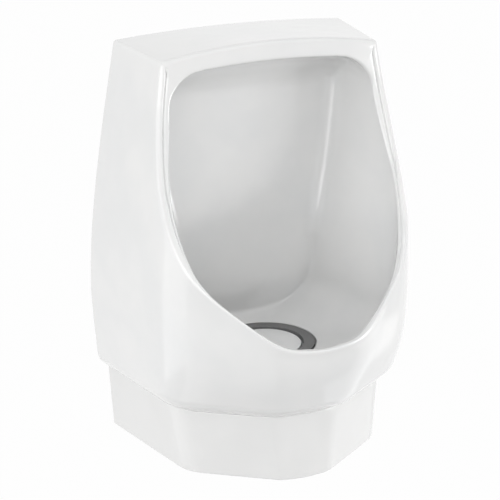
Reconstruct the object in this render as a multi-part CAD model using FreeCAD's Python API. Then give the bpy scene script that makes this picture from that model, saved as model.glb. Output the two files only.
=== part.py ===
import FreeCAD, Part
import math
import os
from collections import namedtuple

# Wall-hung waterless urinal with a drop-in drain cartridge and a separate trap cover.
# Millimetres. +Z is up, the wall is the plane y = 0 and the urinal stands out towards -Y.
# The origin is the centre of the drain outlet on the wall.
# Heights are measured from the bottom edge of the trap cover, as on a rough-in drawing.

Vector = FreeCAD.Vector
UP = Vector(0, 0, 1)
BACK = Vector(0, 1, 0)
RIGHT = Vector(1, 0, 0)

# Driving dimensions of the china body
OUTLET_HEIGHT = 80.0
BODY_WIDTH = 450.0
BODY_DEPTH = 342.0
BODY_BOTTOM = 100.5
BODY_TOP = 600.0
CROWN_AT_WALL = 7.5
CROWN_AT_FRONT = 15.0
CROWN_WALL_INSET = 49.0
CROWN_FRONT_INSET = 15.0
CHINA_WALL = 12.0
TOP_WALL = 16.0
TUCK_RADIUS = 30.0
TUCK_ANGLE = 62.05
NOSE_BULGE = 5.0
NOSE_RADIUS = 300.0

# Bowl
LIP_HEIGHT = 218.0
BOWL_LIP_RISE = 4.0
BOWL_TOP_DEPTH = 23.0
BOWL_BACK_CLEARANCE = 8.0
BOWL_CREASE_RADIUS = 28.0
BOWL_CEILING_RISE = 62.0
BOWL_TOP_CORNER_RADIUS = 35.0
RIM_TOP_DEPTH = 150.0

# Back of the china
RAIL_DROP = 95.0
RAIL_HEIGHT = 40.0
RAIL_THICKNESS = 14.0
RAIL_WALL_GAP = 8.0
FOOT_FLANGE_HEIGHT = 40.0
FOOT_FLANGE_THICKNESS = 14.0
ANCHOR_SPACING = 240.0
ANCHOR_HOLE_RADIUS = 5.0
ANCHOR_RISE = 21.5
OUTLET_NOTCH_CLEARANCE = 4.0

# Drain seat, housing and the parts that clamp it to the china
DRAIN_HEIGHT = 157.0
SEAT_LAND = 1.0
RECESS_CLEARANCE = 2.0
RECESS_DEPTH = 9.0
BOSS_MARGIN = 14.0
CHINA_HOLE_CLEARANCE = 1.0
FLANGE_OVERHANG = 7.0
FLANGE_THICKNESS = 3.0
GASKET_THICKNESS = 2.0
BARREL_BORE_RADIUS = 60.0
BARREL_WALL = 6.0
BARREL_DEPTH = 26.0
HOUSING_WALL = 4.0
POT_STEP = 14.0
THREAD_CLEARANCE = 0.4
WASHER_THICKNESS = 3.0
NUT_HEIGHT = 13.0
NUT_WALL = 8.0
NUT_LUG_COUNT = 8
NUT_LUG_WIDTH = 12.0
NUT_LUG_REACH = 6.0

# Outlet run from the housing to the wall
PIPE_RADIUS = 30.15
PIPE_WALL = 4.0
PIPE_LENGTH = 56.0
PIPE_END_GAP = 2.0
SLEEVE_THICKNESS = 4.5
SLEEVE_CLEARANCE = 0.1
SLEEVE_OVERLAP = 24.0
SLEEVE_POT_GAP = 2.5
CLAMP_BAND = 1.0
CLAMP_WIDTH = 11.0
CLAMP_EDGE = 1.5
CLAMP_BOX_LENGTH = 16.0
CLAMP_BOX_HEIGHT = 8.0
CLAMP_SCREW_RADIUS = 2.6
CLAMP_SCREW_LENGTH = 24.0
CLAMP_HEAD_RADIUS = 4.0
CLAMP_HEAD_LENGTH = 5.0
WALL_FLANGE_REACH = 8.0
WALL_FLANGE_THICKNESS = 4.0

# Lock ring and cartridge
RUN_GAP = 0.3
RING_SIDE_GAP = 2.6
RING_SKIRT_WALL = 3.6
RING_THICKNESS = 4.0
RING_BEVEL = 1.2
RING_SKIRT_GAP = 0.4
LUG_COUNT = 3
LUG_REACH = 3.4
LUG_THICKNESS = 4.2
LUG_ANGLE = 30.0
SLOT_EXTRA_ANGLE = 6.0
CUP_WALL = 2.5
CUP_FLANGE_THICKNESS = 3.7
CUP_FLOOR_GAP = 16.0
CUP_RIM_RISE = 5.3
CUP_SIDE_GAP = 1.5
SEAT_GASKET_THICKNESS = 2.0
ORING_DROP = 10.3
ORING_SECTION = 3.2
WEIR_RADIUS = 15.5
WEIR_WALL = 2.5
WEIR_DROP = 10.0
BAFFLE_THICKNESS = 3.0
BELL_RADIUS = 26.5
BELL_WALL = 2.5
BELL_GAP = 7.5
INLET_COUNT = 6
INLET_RADIUS = 4.0
CAP_GAP = 2.6
CAP_THICKNESS = 3.5
CAP_DOME = 1.5
CAP_BELOW_RING = 3.0
CAP_STEM_RADIUS = 10.0
CAP_RIB_COUNT = 4
CAP_RIB_THICKNESS = 2.5

# Trap cover with its seal, brackets and screws
SEAM_GAP = 1.0
SEAM_STEP = 1.5
COVER_WALL = 5.0
COVER_LIP_WIDTH = 13.0
COVER_LIP_HEIGHT = 6.0
COVER_WALL_INSET = 30.5
COVER_CORNER_INSET = 73.0
COVER_CORNER_DEPTH = 197.0
COVER_CORNER_RADIUS = 45.0
COVER_CORNER_GROWTH = 20.0
COVER_NOSE_WIDTH = 74.0
COVER_NOSE_INSET = 65.0
COVER_NOSE_RADIUS = 18.0
COVER_NOSE_GROWTH = 5.0
SEAL_INSET = 2.0
SEAL_WIDTH = 8.0
BRACKET_HEIGHT = 55.0
BRACKET_SIZE = 36.0
BRACKET_WALL = 3.0
BRACKET_SIDE_GAP = 14.0
BRACKET_HOLE_RADIUS = 3.25
COVER_BOSS_SIZE = 14.0
COVER_SCREW_RADIUS = 2.0
COVER_SCREW_LENGTH = 9.0
COVER_SCREW_CLEARANCE = 0.15
COVER_SCREW_HEAD_RADIUS = 3.8
COVER_SCREW_HEAD_HEIGHT = 2.4

# Wall hangers
HANGER_SPACING = 220.0
HANGER_WIDTH = 50.0
HANGER_THICKNESS = 4.0
HANGER_LIP = 16.0
HANGER_EDGE = 14.0
HANGER_HOLE_RADIUS = 4.0
HANGER_HOLE_SPACING = 40.0
HANGER_HOLE_DROP = 22.0

# Worked out from the driving dimensions
HALF_WIDTH = BODY_WIDTH / 2
NOSE_Y = NOSE_BULGE - BODY_DEPTH
TUCK_HEIGHT = TUCK_RADIUS * math.sin(math.radians(TUCK_ANGLE))
TUCK_TOP = BODY_BOTTOM + TUCK_HEIGHT
BOWL_TOP = BODY_TOP - BOWL_TOP_DEPTH
BOWL_CEILING = BOWL_TOP - BOWL_CEILING_RISE
BOWL_LIP = LIP_HEIGHT + BOWL_LIP_RISE
RAIL_BOTTOM = BODY_TOP - RAIL_DROP
HANGER_FRONT = -RAIL_WALL_GAP - RAIL_THICKNESS - 2 * HANGER_THICKNESS
BOWL_BACK = HANGER_FRONT - BOWL_BACK_CLEARANCE - CHINA_WALL
BARREL_RADIUS = BARREL_BORE_RADIUS + BARREL_WALL
POT_BORE_RADIUS = BARREL_BORE_RADIUS - POT_STEP
POT_RADIUS = POT_BORE_RADIUS + HOUSING_WALL
SPIGOT_LENGTH = SLEEVE_OVERLAP + SLEEVE_POT_GAP
DRAIN_Y = -(PIPE_LENGTH + PIPE_END_GAP + SPIGOT_LENGTH + POT_RADIUS)
PIPE_BORE_RADIUS = PIPE_RADIUS - PIPE_WALL
POT_FLOOR = OUTLET_HEIGHT - PIPE_BORE_RADIUS
FLANGE_RADIUS = BARREL_RADIUS + FLANGE_OVERHANG
RECESS_RADIUS = FLANGE_RADIUS + RECESS_CLEARANCE
DRAIN_EDGE_RADIUS = RECESS_RADIUS + SEAT_LAND
NUT_RADIUS = BARREL_RADIUS + NUT_WALL
WASHER_RADIUS = NUT_RADIUS + NUT_LUG_REACH
SEAT_HEIGHT = DRAIN_HEIGHT - RECESS_DEPTH
SEAT_UNDERSIDE = SEAT_HEIGHT - CHINA_WALL
BARREL_FLOOR = SEAT_HEIGHT - BARREL_DEPTH
FLANGE_BOTTOM = SEAT_HEIGHT + GASKET_THICKNESS
FLANGE_TOP = FLANGE_BOTTOM + FLANGE_THICKNESS
LUG_TOP = FLANGE_BOTTOM - RUN_GAP
LUG_BOTTOM = LUG_TOP - LUG_THICKNESS
LUG_RADIUS = BARREL_BORE_RADIUS - RING_SKIRT_GAP + LUG_REACH
LUG_GROOVE_RADIUS = LUG_RADIUS + RING_SKIRT_GAP
SHOULDER_TOP = LUG_BOTTOM - RUN_GAP
RING_RADIUS = RECESS_RADIUS - RING_SIDE_GAP
RING_BORE_RADIUS = BARREL_BORE_RADIUS - RING_SKIRT_GAP - RING_SKIRT_WALL
RING_BOTTOM = FLANGE_TOP + RUN_GAP
RING_TOP = RING_BOTTOM + RING_THICKNESS
CUP_STEP = BARREL_FLOOR + RUN_GAP + SEAT_GASKET_THICKNESS
CUP_FLOOR = CUP_STEP + CUP_FLANGE_THICKNESS
CUP_BOTTOM = POT_FLOOR + CUP_FLOOR_GAP
BELL_BOTTOM = CUP_BOTTOM + CUP_WALL + BELL_GAP
WEIR_TOP = CUP_FLOOR - WEIR_DROP
ORING_HEIGHT = CUP_STEP - ORING_DROP
COVER_HEIGHT = BODY_BOTTOM - SEAM_GAP
COVER_WALL_WIDTH = BODY_WIDTH - 2 * COVER_WALL_INSET
COVER_CORNER_WIDTH = BODY_WIDTH - 2 * COVER_CORNER_INSET
COVER_NOSE_DEPTH = BODY_DEPTH - COVER_NOSE_INSET
SPIGOT_END = DRAIN_Y + POT_RADIUS + SPIGOT_LENGTH
SLEEVE_RADIUS = PIPE_RADIUS + SLEEVE_CLEARANCE + SLEEVE_THICKNESS
CLAMP_RADIUS = SLEEVE_RADIUS + CLAMP_BAND

# Side profile of the rim, as shares of the way from the lip up to the top and out to the nose
RIM_CURVE = [
    (1.08, -0.003),
    (0.825, 0.042),
    (0.605, 0.177),
    (0.403, 0.411),
    (0.196, 0.677),
    (0.066, 0.886),
    (0.0195, 0.953),
    (-0.02, 1.035),
]

# Working values for the lofts and cuts
FAR = 400.0
CUT = 1.0
TOP_OVERRUN = 20.0
BACK_OVERRUN = 20.0
BOTTOM_OVERRUN = 10.0
LEVEL_STEP = 26.0
ARC_ROOM = 0.96
CORNER_INSET_SHARE = 0.6
NOSE_INSET_SHARE = 0.3
FLOOR_OPENING_POWER = 1.75
Station = namedtuple("Station", "height wall corner_x corner_y nose_x nose_y corner_radius nose_radius")
Hollow = namedtuple("Hollow", "height back half corner_x corner_y nose_x nose_y corner_radius nose_radius")


def at(x, y, height):
    """Point at a height above the bottom edge of the trap cover."""
    return Vector(x, y, height - OUTLET_HEIGHT)


def box(x0, x1, y0, y1, low, high):
    """Box between two corners, given by heights."""
    return Part.makeBox(x1 - x0, y1 - y0, high - low, at(x0, y0, low))


def drain_disc(radius, low, high):
    """Upright cylinder on the drain axis."""
    return Part.makeCylinder(radius, high - low, at(0, DRAIN_Y, low), UP)


def drain_tube(outer, inner, low, high):
    """Upright tube on the drain axis."""
    return drain_disc(outer, low, high).cut(drain_disc(inner, low - CUT, high + CUT))


def outlet_disc(radius, y0, y1):
    """Cylinder on the outlet axis, from the housing towards the wall."""
    return Part.makeCylinder(radius, y1 - y0, Vector(0, y0, 0), BACK)


def outlet_tube(outer, inner, y0, y1):
    """Tube on the outlet axis."""
    return outlet_disc(outer, y0, y1).cut(outlet_disc(inner, y0 - CUT, y1 + CUT))


def mirrored(shape):
    """The same shape on the other side of the middle plane."""
    return shape.mirror(Vector(0, 0, 0), RIGHT)


def join(first, others):
    """One clean solid from touching pieces."""
    return first.fuse(others).removeSplitter()


def inset_points(points, distance):
    """Move a half outline inwards. It runs from the wall to the middle plane."""
    lines = []
    for start, end in zip(points, points[1:]):
        along = (end - start).normalize()
        inward = Vector(along.y, -along.x, 0)
        lines.append((start + inward * distance, along))
    first_point, first_along = lines[0]
    last_point, last_along = lines[-1]
    moved = [first_point + first_along * ((points[0].y - first_point.y) / first_along.y)]
    for (point, along), (other, other_along) in zip(lines, lines[1:]):
        cross = along.x * other_along.y - along.y * other_along.x
        gap = other - point
        step = (gap.x * other_along.y - gap.y * other_along.x) / cross
        moved.append(point + along * step)
    moved.append(last_point - last_along * (last_point.x / last_along.x))
    return moved


def limited_reaches(points, radii):
    """Length that each corner's arc takes from its two sides, kept within those sides."""
    halves = []
    reaches = []
    for index, (point, radius) in enumerate(zip(points, radii)):
        before = points[index - 1] - point
        after = points[(index + 1) % len(points)] - point
        halves.append(before.getAngle(after) / 2)
        reaches.append(radius / math.tan(halves[-1]))
    limited = list(reaches)
    for index, point in enumerate(points):
        following = (index + 1) % len(points)
        room = ARC_ROOM * (points[following] - point).Length
        wanted = reaches[index] + reaches[following]
        if wanted > room:
            limited[index] = min(limited[index], reaches[index] * room / wanted)
            limited[following] = min(limited[following], reaches[following] * room / wanted)
    return halves, limited


def rounded_wire(points, radii):
    """Closed wire through the points with an arc of the given radius at each."""
    halves, reaches = limited_reaches(points, radii)
    starts = []
    ends = []
    for index, (point, reach) in enumerate(zip(points, reaches)):
        starts.append(point + (points[index - 1] - point).normalize() * reach)
        ends.append(point + (points[(index + 1) % len(points)] - point).normalize() * reach)
    edges = []
    for index, (point, half, reach) in enumerate(zip(points, halves, reaches)):
        if reach > 0:
            middle = (starts[index] + ends[index]) * 0.5
            depth = reach * (1 / math.cos(half) - math.tan(half))
            top = point + (middle - point).normalize() * depth
            edges.append(Part.Arc(starts[index], top, ends[index]).toShape())
        following = starts[(index + 1) % len(points)]
        edges.append(Part.LineSegment(ends[index], following).toShape())
    return Part.Wire(edges)


def smooth_row(rows, height):
    """Row of values at a height, on a smooth curve through the given rows."""
    index = 0
    while index < len(rows) - 2 and rows[index + 1].height < height:
        index += 1
    low, high = rows[index], rows[index + 1]
    before = rows[max(index - 1, 0)]
    after = rows[min(index + 2, len(rows) - 1)]
    span = high.height - low.height
    t = (height - low.height) / span
    values = []
    for a, b, c, d in zip(before, low, high, after):
        low_slope = (c - a) / (high.height - before.height) * span
        high_slope = (d - b) / (after.height - low.height) * span
        start = b * (1 + 2 * t) * (1 - t) ** 2 + low_slope * t * (1 - t) ** 2
        values.append(start + c * t ** 2 * (3 - 2 * t) - high_slope * t ** 2 * (1 - t))
    return type(low)(*values)


def levels(low, high):
    """Evenly spaced heights from one level to another."""
    count = math.ceil((high - low) / LEVEL_STEP)
    return [low + (high - low) * index / count for index in range(count + 1)]


def whole_outline(half, radii):
    """Closed wire from a half outline that ends on the middle plane, and its mirror image."""
    other = [Vector(-point.x, point.y, point.z) for point in reversed(half[:-1])]
    return rounded_wire(half + other, radii + radii[-2::-1])


def outer_stations():
    """Level outlines of the china from its bottom edge to above its top."""
    half = HALF_WIDTH
    return [
        Station(BODY_BOTTOM, half - 6.0, half - 46, -204, 52, NOSE_Y + 45.5, 85, 80),
        Station(TUCK_TOP, half - 6.5, half - 43, -217, 54, NOSE_Y + 30, 95, 90),
        Station(180, half - 2.5, half - 39, -240, 60, NOSE_Y + 8, 115, 120),
        Station(235, half, half - 37, -250, 64, NOSE_Y, 130, 150),
        Station(330, half - 5, half - 39, -252, 64, NOSE_Y, 130, 150),
        Station(450, half - 20.4, half - 52.5, -252, 60, NOSE_Y, 130, 150),
        Station(BODY_TOP + TOP_OVERRUN, half - 48.9, half - 79, -252, 55, NOSE_Y, 130, 150),
    ]


def station_wire(station, inset, back=0.0):
    """Level wire of a station, moved in by the inset. Its back edge lies at y = back."""
    points = [
        at(station.wall, 0, station.height),
        at(station.corner_x, station.corner_y, station.height),
        at(station.nose_x, station.nose_y, station.height),
        at(0, station.nose_y - NOSE_BULGE, station.height),
    ]
    points = inset_points(points, inset)
    side = (points[0] - points[1]).normalize()
    points[0] = points[0] + side * ((back - points[0].y) / side.y)
    corner = station.corner_radius - CORNER_INSET_SHARE * inset
    nose = station.nose_radius - NOSE_INSET_SHARE * inset
    return whole_outline(points, [0, corner, nose, NOSE_RADIUS])


def tuck_inset(height):
    """How far the rounded bottom edge of the china draws in at a height."""
    drop = max(0.0, TUCK_TOP - height)
    return TUCK_RADIUS - math.sqrt(TUCK_RADIUS ** 2 - drop ** 2)


def outer_wires(inset, top, back=0.0):
    """Level wires of the outer surface, moved in by the inset, up to a top level."""
    rows = outer_stations()
    tuck = [BODY_BOTTOM + share * TUCK_HEIGHT for share in (0, 0.08, 0.2, 0.36, 0.6)]
    wires = []
    for height in tuck + levels(TUCK_TOP, top):
        wires.append(station_wire(smooth_row(rows, height), inset + tuck_inset(height), back))
    return wires


def china_outside():
    """Full column of the china body before the top, rim and hollows are cut."""
    return Part.makeLoft(outer_wires(0, BODY_TOP + TOP_OVERRUN), True, True)


def crown_wire(y):
    """Upright section of the space above the crowned top, at a distance from the wall."""
    share = -y / RIM_TOP_DEPTH
    crown = CROWN_AT_WALL + (CROWN_AT_FRONT - CROWN_AT_WALL) * share
    half = HALF_WIDTH - CROWN_WALL_INSET - CROWN_FRONT_INSET * share
    radius = (half ** 2 + crown ** 2) / (2 * crown)
    drop = FAR ** 2 / (2 * radius)
    left = at(-FAR, y, BODY_TOP + crown - drop)
    top = at(0, y, BODY_TOP + crown)
    right = at(FAR, y, BODY_TOP + crown - drop)
    high_right = at(FAR, y, BODY_TOP + FAR)
    high_left = at(-FAR, y, BODY_TOP + FAR)
    arc = Part.Arc(left, top, right).toShape()
    sides = [(right, high_right), (high_right, high_left), (high_left, left)]
    return Part.Wire([arc] + [Part.LineSegment(a, b).toShape() for a, b in sides])


def above_crown():
    """Everything above the crowned top."""
    return Part.makeLoft([crown_wire(CUT), crown_wire(-RIM_TOP_DEPTH - TOP_OVERRUN)], True, True)


def before_rim(shift):
    """Everything in front of the rim. The rim is one side profile, straight across the body."""
    points = []
    for up, out in RIM_CURVE:
        height = LIP_HEIGHT + up * (BODY_TOP - LIP_HEIGHT)
        depth = RIM_TOP_DEPTH + out * (BODY_DEPTH - RIM_TOP_DEPTH)
        points.append(at(-FAR, shift - depth, height))
    curve = Part.BSplineCurve()
    curve.interpolate(points)
    low = Vector(-FAR, -2 * FAR, points[-1].z)
    high = Vector(-FAR, -2 * FAR, points[0].z)
    sides = [(points[-1], low), (low, high), (high, points[0])]
    edges = [curve.toShape()] + [Part.LineSegment(a, b).toShape() for a, b in sides]
    return Part.Face(Part.Wire(edges)).extrude(RIGHT * (2 * FAR))


def bowl_rows():
    """Level outlines of the bowl above its floor."""
    back = BOWL_BACK
    half = HALF_WIDTH
    nose_y = NOSE_Y + 7
    rise = BOWL_CEILING - BOWL_LIP
    return [
        Hollow(BOWL_LIP, back, half - 117, half - 47, -244, 56, NOSE_Y + 9, 112, 120),
        Hollow(BOWL_LIP + 0.27 * rise, back, half - 105, half - 45, -246, 58, nose_y, 112, 120),
        Hollow(BOWL_LIP + 0.61 * rise, back, half - 90, half - 45, -246, 58, nose_y, 112, 120),
        Hollow(BOWL_LIP + 0.78 * rise, back, half - 84, half - 47, -246, 58, nose_y, 112, 120),
        Hollow(BOWL_CEILING, back, half - 77, half - 61, -246, 58, nose_y, 112, 120),
        Hollow(BOWL_TOP, back, half - 75, half - 72, -246, 58, nose_y, 112, 120),
    ]


def floor_row(share):
    """Level outline of the bowl floor, from a circle round the drain to the lip outline."""
    lip = bowl_rows()[0]
    radius = DRAIN_EDGE_RADIUS
    half_side = radius * math.tan(math.pi / 6)
    drain = Hollow(DRAIN_HEIGHT, DRAIN_Y + radius, half_side, 2 * half_side, DRAIN_Y,
                   half_side, DRAIN_Y - radius, radius, radius)
    opened = 1 - (1 - share) ** FLOOR_OPENING_POWER
    row = Hollow(*[a + (b - a) * opened for a, b in zip(drain, lip)])
    return row._replace(height=DRAIN_HEIGHT + (lip.height - DRAIN_HEIGHT) * share)


def ceiling_row(share):
    """Level outline of the bowl's ceiling, which curves forward and draws in to the rim's top."""
    height = BOWL_TOP - BOWL_CEILING_RISE * (1 - share)
    reach = (RIM_TOP_DEPTH + BOWL_BACK) * (1 - math.sqrt(1 - share ** 2))
    rise = max(0.0, height - (BOWL_TOP - BOWL_TOP_CORNER_RADIUS))
    draw = BOWL_TOP_CORNER_RADIUS - math.sqrt(BOWL_TOP_CORNER_RADIUS ** 2 - rise ** 2)
    row = smooth_row(bowl_rows(), height)
    return row._replace(back=row.back - reach, half=row.half - draw, corner_x=row.corner_x - draw)


def hollow_wire(row, outset):
    """Level wire of the bowl, grown by the outset."""
    points = [
        at(row.half, row.back, row.height),
        at(row.corner_x, row.corner_y, row.height),
        at(row.nose_x, row.nose_y, row.height),
        at(0, row.nose_y - NOSE_BULGE, row.height),
    ]
    points = inset_points(points, -outset)
    side = (points[0] - points[1]).normalize()
    points[0] = points[0] + side * (outset / side.y)
    crease = BOWL_CREASE_RADIUS + outset
    return whole_outline(points, [crease, row.corner_radius + outset, row.nose_radius + outset, NOSE_RADIUS])


def bowl_space(outset):
    """The bowl, or the bowl grown by the china wall. It grows away from its middle height."""
    rows = [floor_row(share) for share in (0, 0.06, 0.15, 0.3, 0.5, 0.75)]
    above = bowl_rows()
    rows += [smooth_row(above, height) for height in levels(above[0].height, above[-2].height)]
    rows += [ceiling_row(share) for share in (0.35, 0.6, 0.8, 0.92, 0.98, 0.997)]
    wires = []
    for row in rows:
        share = (row.height - DRAIN_HEIGHT) / (BOWL_TOP - DRAIN_HEIGHT)
        wires.append(hollow_wire(row._replace(height=row.height + outset * (2 * share - 1)), outset))
    return Part.makeLoft(wires, True, True)


def back_space():
    """Space between the outer shell and the bowl, open at the back and below."""
    wires = outer_wires(CHINA_WALL, BODY_TOP - TOP_WALL, BACK_OVERRUN)
    below = outer_stations()[0]._replace(height=BODY_BOTTOM - BOTTOM_OVERRUN)
    wires.insert(0, station_wire(below, CHINA_WALL + tuck_inset(BODY_BOTTOM), BACK_OVERRUN))
    return Part.makeLoft(wires, True, True).cut(bowl_space(CHINA_WALL)).cut(before_rim(CHINA_WALL))


def china_body():
    """The glazed body: outer shell, bowl, drain boss, hanging rail and foot flange."""
    outside = china_outside()
    body = outside.cut(above_crown()).cut(before_rim(0)).cut(back_space())
    rail_back = -RAIL_WALL_GAP
    rail = box(-FAR, FAR, rail_back - RAIL_THICKNESS, rail_back, RAIL_BOTTOM, RAIL_BOTTOM + RAIL_HEIGHT)
    foot_top = BODY_BOTTOM + FOOT_FLANGE_HEIGHT
    foot = box(-FAR, FAR, -FOOT_FLANGE_THICKNESS, 0, BODY_BOTTOM, foot_top)
    notch = outlet_disc(PIPE_RADIUS + WALL_FLANGE_REACH + OUTLET_NOTCH_CLEARANCE, -FAR, CUT)
    foot = foot.cut(notch)
    for side in (-1, 1):
        place = at(side * ANCHOR_SPACING / 2, -FAR, BODY_BOTTOM + ANCHOR_RISE)
        foot = foot.cut(Part.makeCylinder(ANCHOR_HOLE_RADIUS, 2 * FAR, place, BACK))
    boss = drain_disc(DRAIN_EDGE_RADIUS + BOSS_MARGIN, SEAT_UNDERSIDE, DRAIN_HEIGHT + CUT)
    body = join(body, [rail.common(outside), foot.common(outside), boss])
    hole = drain_disc(BARREL_RADIUS + CHINA_HOLE_CLEARANCE, SEAT_UNDERSIDE - CUT, DRAIN_HEIGHT)
    recess = drain_disc(RECESS_RADIUS, SEAT_HEIGHT, DRAIN_HEIGHT + CUT)
    return body.cut(bowl_space(0)).cut(recess).cut(hole)


def cover_outline(station_inset, height):
    """Level wire of the trap cover. It leans out from its bottom edge to the seam."""
    top = outer_stations()[0]
    inset = tuck_inset(BODY_BOTTOM) + SEAM_STEP
    high = [
        at(top.wall, 0, COVER_HEIGHT),
        at(top.corner_x, top.corner_y, COVER_HEIGHT),
        at(top.nose_x, top.nose_y, COVER_HEIGHT),
        at(0, top.nose_y - NOSE_BULGE, COVER_HEIGHT),
    ]
    high = inset_points(high, inset)
    low = [
        at(COVER_WALL_WIDTH / 2, 0, 0),
        at(COVER_CORNER_WIDTH / 2, -COVER_CORNER_DEPTH, 0),
        at(COVER_NOSE_WIDTH / 2, -COVER_NOSE_DEPTH, 0),
        at(0, -COVER_NOSE_DEPTH - NOSE_BULGE, 0),
    ]
    share = height / COVER_HEIGHT
    points = [a + (b - a) * share for a, b in zip(low, high)]
    points = inset_points(points, station_inset)
    corner = COVER_CORNER_RADIUS + COVER_CORNER_GROWTH * share - CORNER_INSET_SHARE * station_inset
    nose = COVER_NOSE_RADIUS + COVER_NOSE_GROWTH * share - NOSE_INSET_SHARE * station_inset
    return whole_outline(points, [0, corner, nose, NOSE_RADIUS])


def cover_block(inset, low, high, back):
    """Solid between two levels inside the trap cover's outline, reaching back past the wall."""
    block = Part.makeLoft([cover_outline(inset, low), cover_outline(inset, high)], True, True)
    if back == 0:
        return block
    face = max(block.Faces, key=lambda each: each.CenterOfMass.y)
    return block.fuse(face.extrude(BACK * back))


def bracket_x():
    """Inner face of the right bracket's side leg."""
    return COVER_WALL_WIDTH / 2 - COVER_WALL - BRACKET_SIDE_GAP


def trap_cover():
    """Moulded cover below the china, open at the back and below, with two screw bosses."""
    block = cover_block(0, 0, COVER_HEIGHT, 0)
    main = cover_block(COVER_WALL, -CUT, COVER_HEIGHT - COVER_LIP_HEIGHT, CUT)
    mouth = cover_block(COVER_LIP_WIDTH, COVER_HEIGHT / 2, COVER_HEIGHT + CUT, CUT)
    boss_y = -BRACKET_SIZE / 2
    reach = COVER_BOSS_SIZE / 2
    leg_face = bracket_x() + BRACKET_WALL
    low = BRACKET_HEIGHT - reach
    boss = box(leg_face, FAR, boss_y - reach, boss_y + reach, low, low + COVER_BOSS_SIZE).common(block)
    hole_radius = COVER_SCREW_RADIUS + COVER_SCREW_CLEARANCE
    start = at(leg_face - CUT, boss_y, BRACKET_HEIGHT)
    hole = Part.makeCylinder(hole_radius, COVER_SCREW_LENGTH, start, RIGHT)
    shell = join(block.cut(main).cut(mouth), [boss, mirrored(boss)])
    return shell.cut(hole).cut(mirrored(hole))


def cover_seal():
    """Thin strip that fills the seam between the cover and the china."""
    low = cover_outline(SEAL_INSET, COVER_HEIGHT)
    inner = cover_outline(SEAL_INSET + SEAL_WIDTH, COVER_HEIGHT)
    strip = Part.Face(low).extrude(UP * SEAM_GAP)
    middle = Part.Face(inner).extrude(UP * SEAM_GAP)
    rear = box(-bracket_x(), bracket_x(), -SEAL_WIDTH - COVER_LIP_WIDTH, CUT, 0, BODY_TOP)
    return strip.cut(middle).cut(rear)


def cover_bracket():
    """Right angle bracket between the wall and the side of the trap cover."""
    low = BRACKET_HEIGHT - BRACKET_SIZE / 2
    high = low + BRACKET_SIZE
    face = bracket_x() + BRACKET_WALL
    wall_leg = box(face - BRACKET_SIZE, face, -BRACKET_WALL, 0, low, high)
    side_leg = box(bracket_x(), face, -BRACKET_SIZE, 0, low, high)
    wall_hole = at(face - BRACKET_SIZE / 2 - BRACKET_WALL, -FAR, BRACKET_HEIGHT)
    side_hole = at(bracket_x() - CUT, -BRACKET_SIZE / 2, BRACKET_HEIGHT)
    radius = COVER_SCREW_RADIUS + COVER_SCREW_CLEARANCE
    bracket = join(wall_leg, [side_leg])
    bracket = bracket.cut(Part.makeCylinder(BRACKET_HOLE_RADIUS, 2 * FAR, wall_hole, BACK))
    return bracket.cut(Part.makeCylinder(radius, BRACKET_WALL + 2 * CUT, side_hole, RIGHT))


def cover_screw():
    """Right screw from the bracket's side leg into the cover's boss."""
    seat = at(bracket_x(), -BRACKET_SIZE / 2, BRACKET_HEIGHT)
    head_start = seat - RIGHT * COVER_SCREW_HEAD_HEIGHT
    head = Part.makeCylinder(COVER_SCREW_HEAD_RADIUS, COVER_SCREW_HEAD_HEIGHT, head_start, RIGHT)
    return join(head, [Part.makeCylinder(COVER_SCREW_RADIUS, COVER_SCREW_LENGTH, seat, RIGHT)])


def wall_hanger():
    """Right hook that carries the china's hanging rail."""
    x0 = HANGER_SPACING / 2 - HANGER_WIDTH / 2
    x1 = x0 + HANGER_WIDTH
    low = RAIL_BOTTOM - HANGER_THICKNESS
    holes = [low - HANGER_HOLE_DROP, low - HANGER_HOLE_DROP - HANGER_HOLE_SPACING]
    plate = box(x0, x1, -HANGER_THICKNESS, 0, holes[-1] - HANGER_EDGE, RAIL_BOTTOM + RAIL_HEIGHT)
    shelf = box(x0, x1, HANGER_FRONT, 0, low, RAIL_BOTTOM)
    lip_back = HANGER_FRONT + HANGER_THICKNESS
    lip = box(x0, x1, HANGER_FRONT, lip_back, low, RAIL_BOTTOM + HANGER_LIP)
    hanger = join(plate, [shelf, lip])
    for height in holes:
        place = at(HANGER_SPACING / 2, -HANGER_THICKNESS - CUT, height)
        hanger = hanger.cut(Part.makeCylinder(HANGER_HOLE_RADIUS, HANGER_THICKNESS + 2 * CUT, place, BACK))
    return hanger


def ring_sector(outer, inner, low, high, angle, count):
    """Equal sectors of a tube on the drain axis, as one shape."""
    pieces = []
    for index in range(count):
        turn = 360.0 * index / count - angle / 2
        solid = Part.makeCylinder(outer, high - low, at(0, DRAIN_Y, low), UP, angle)
        solid = solid.cut(drain_disc(inner, low - CUT, high + CUT))
        solid.rotate(at(0, DRAIN_Y, low), UP, turn)
        pieces.append(solid)
    return pieces


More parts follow.
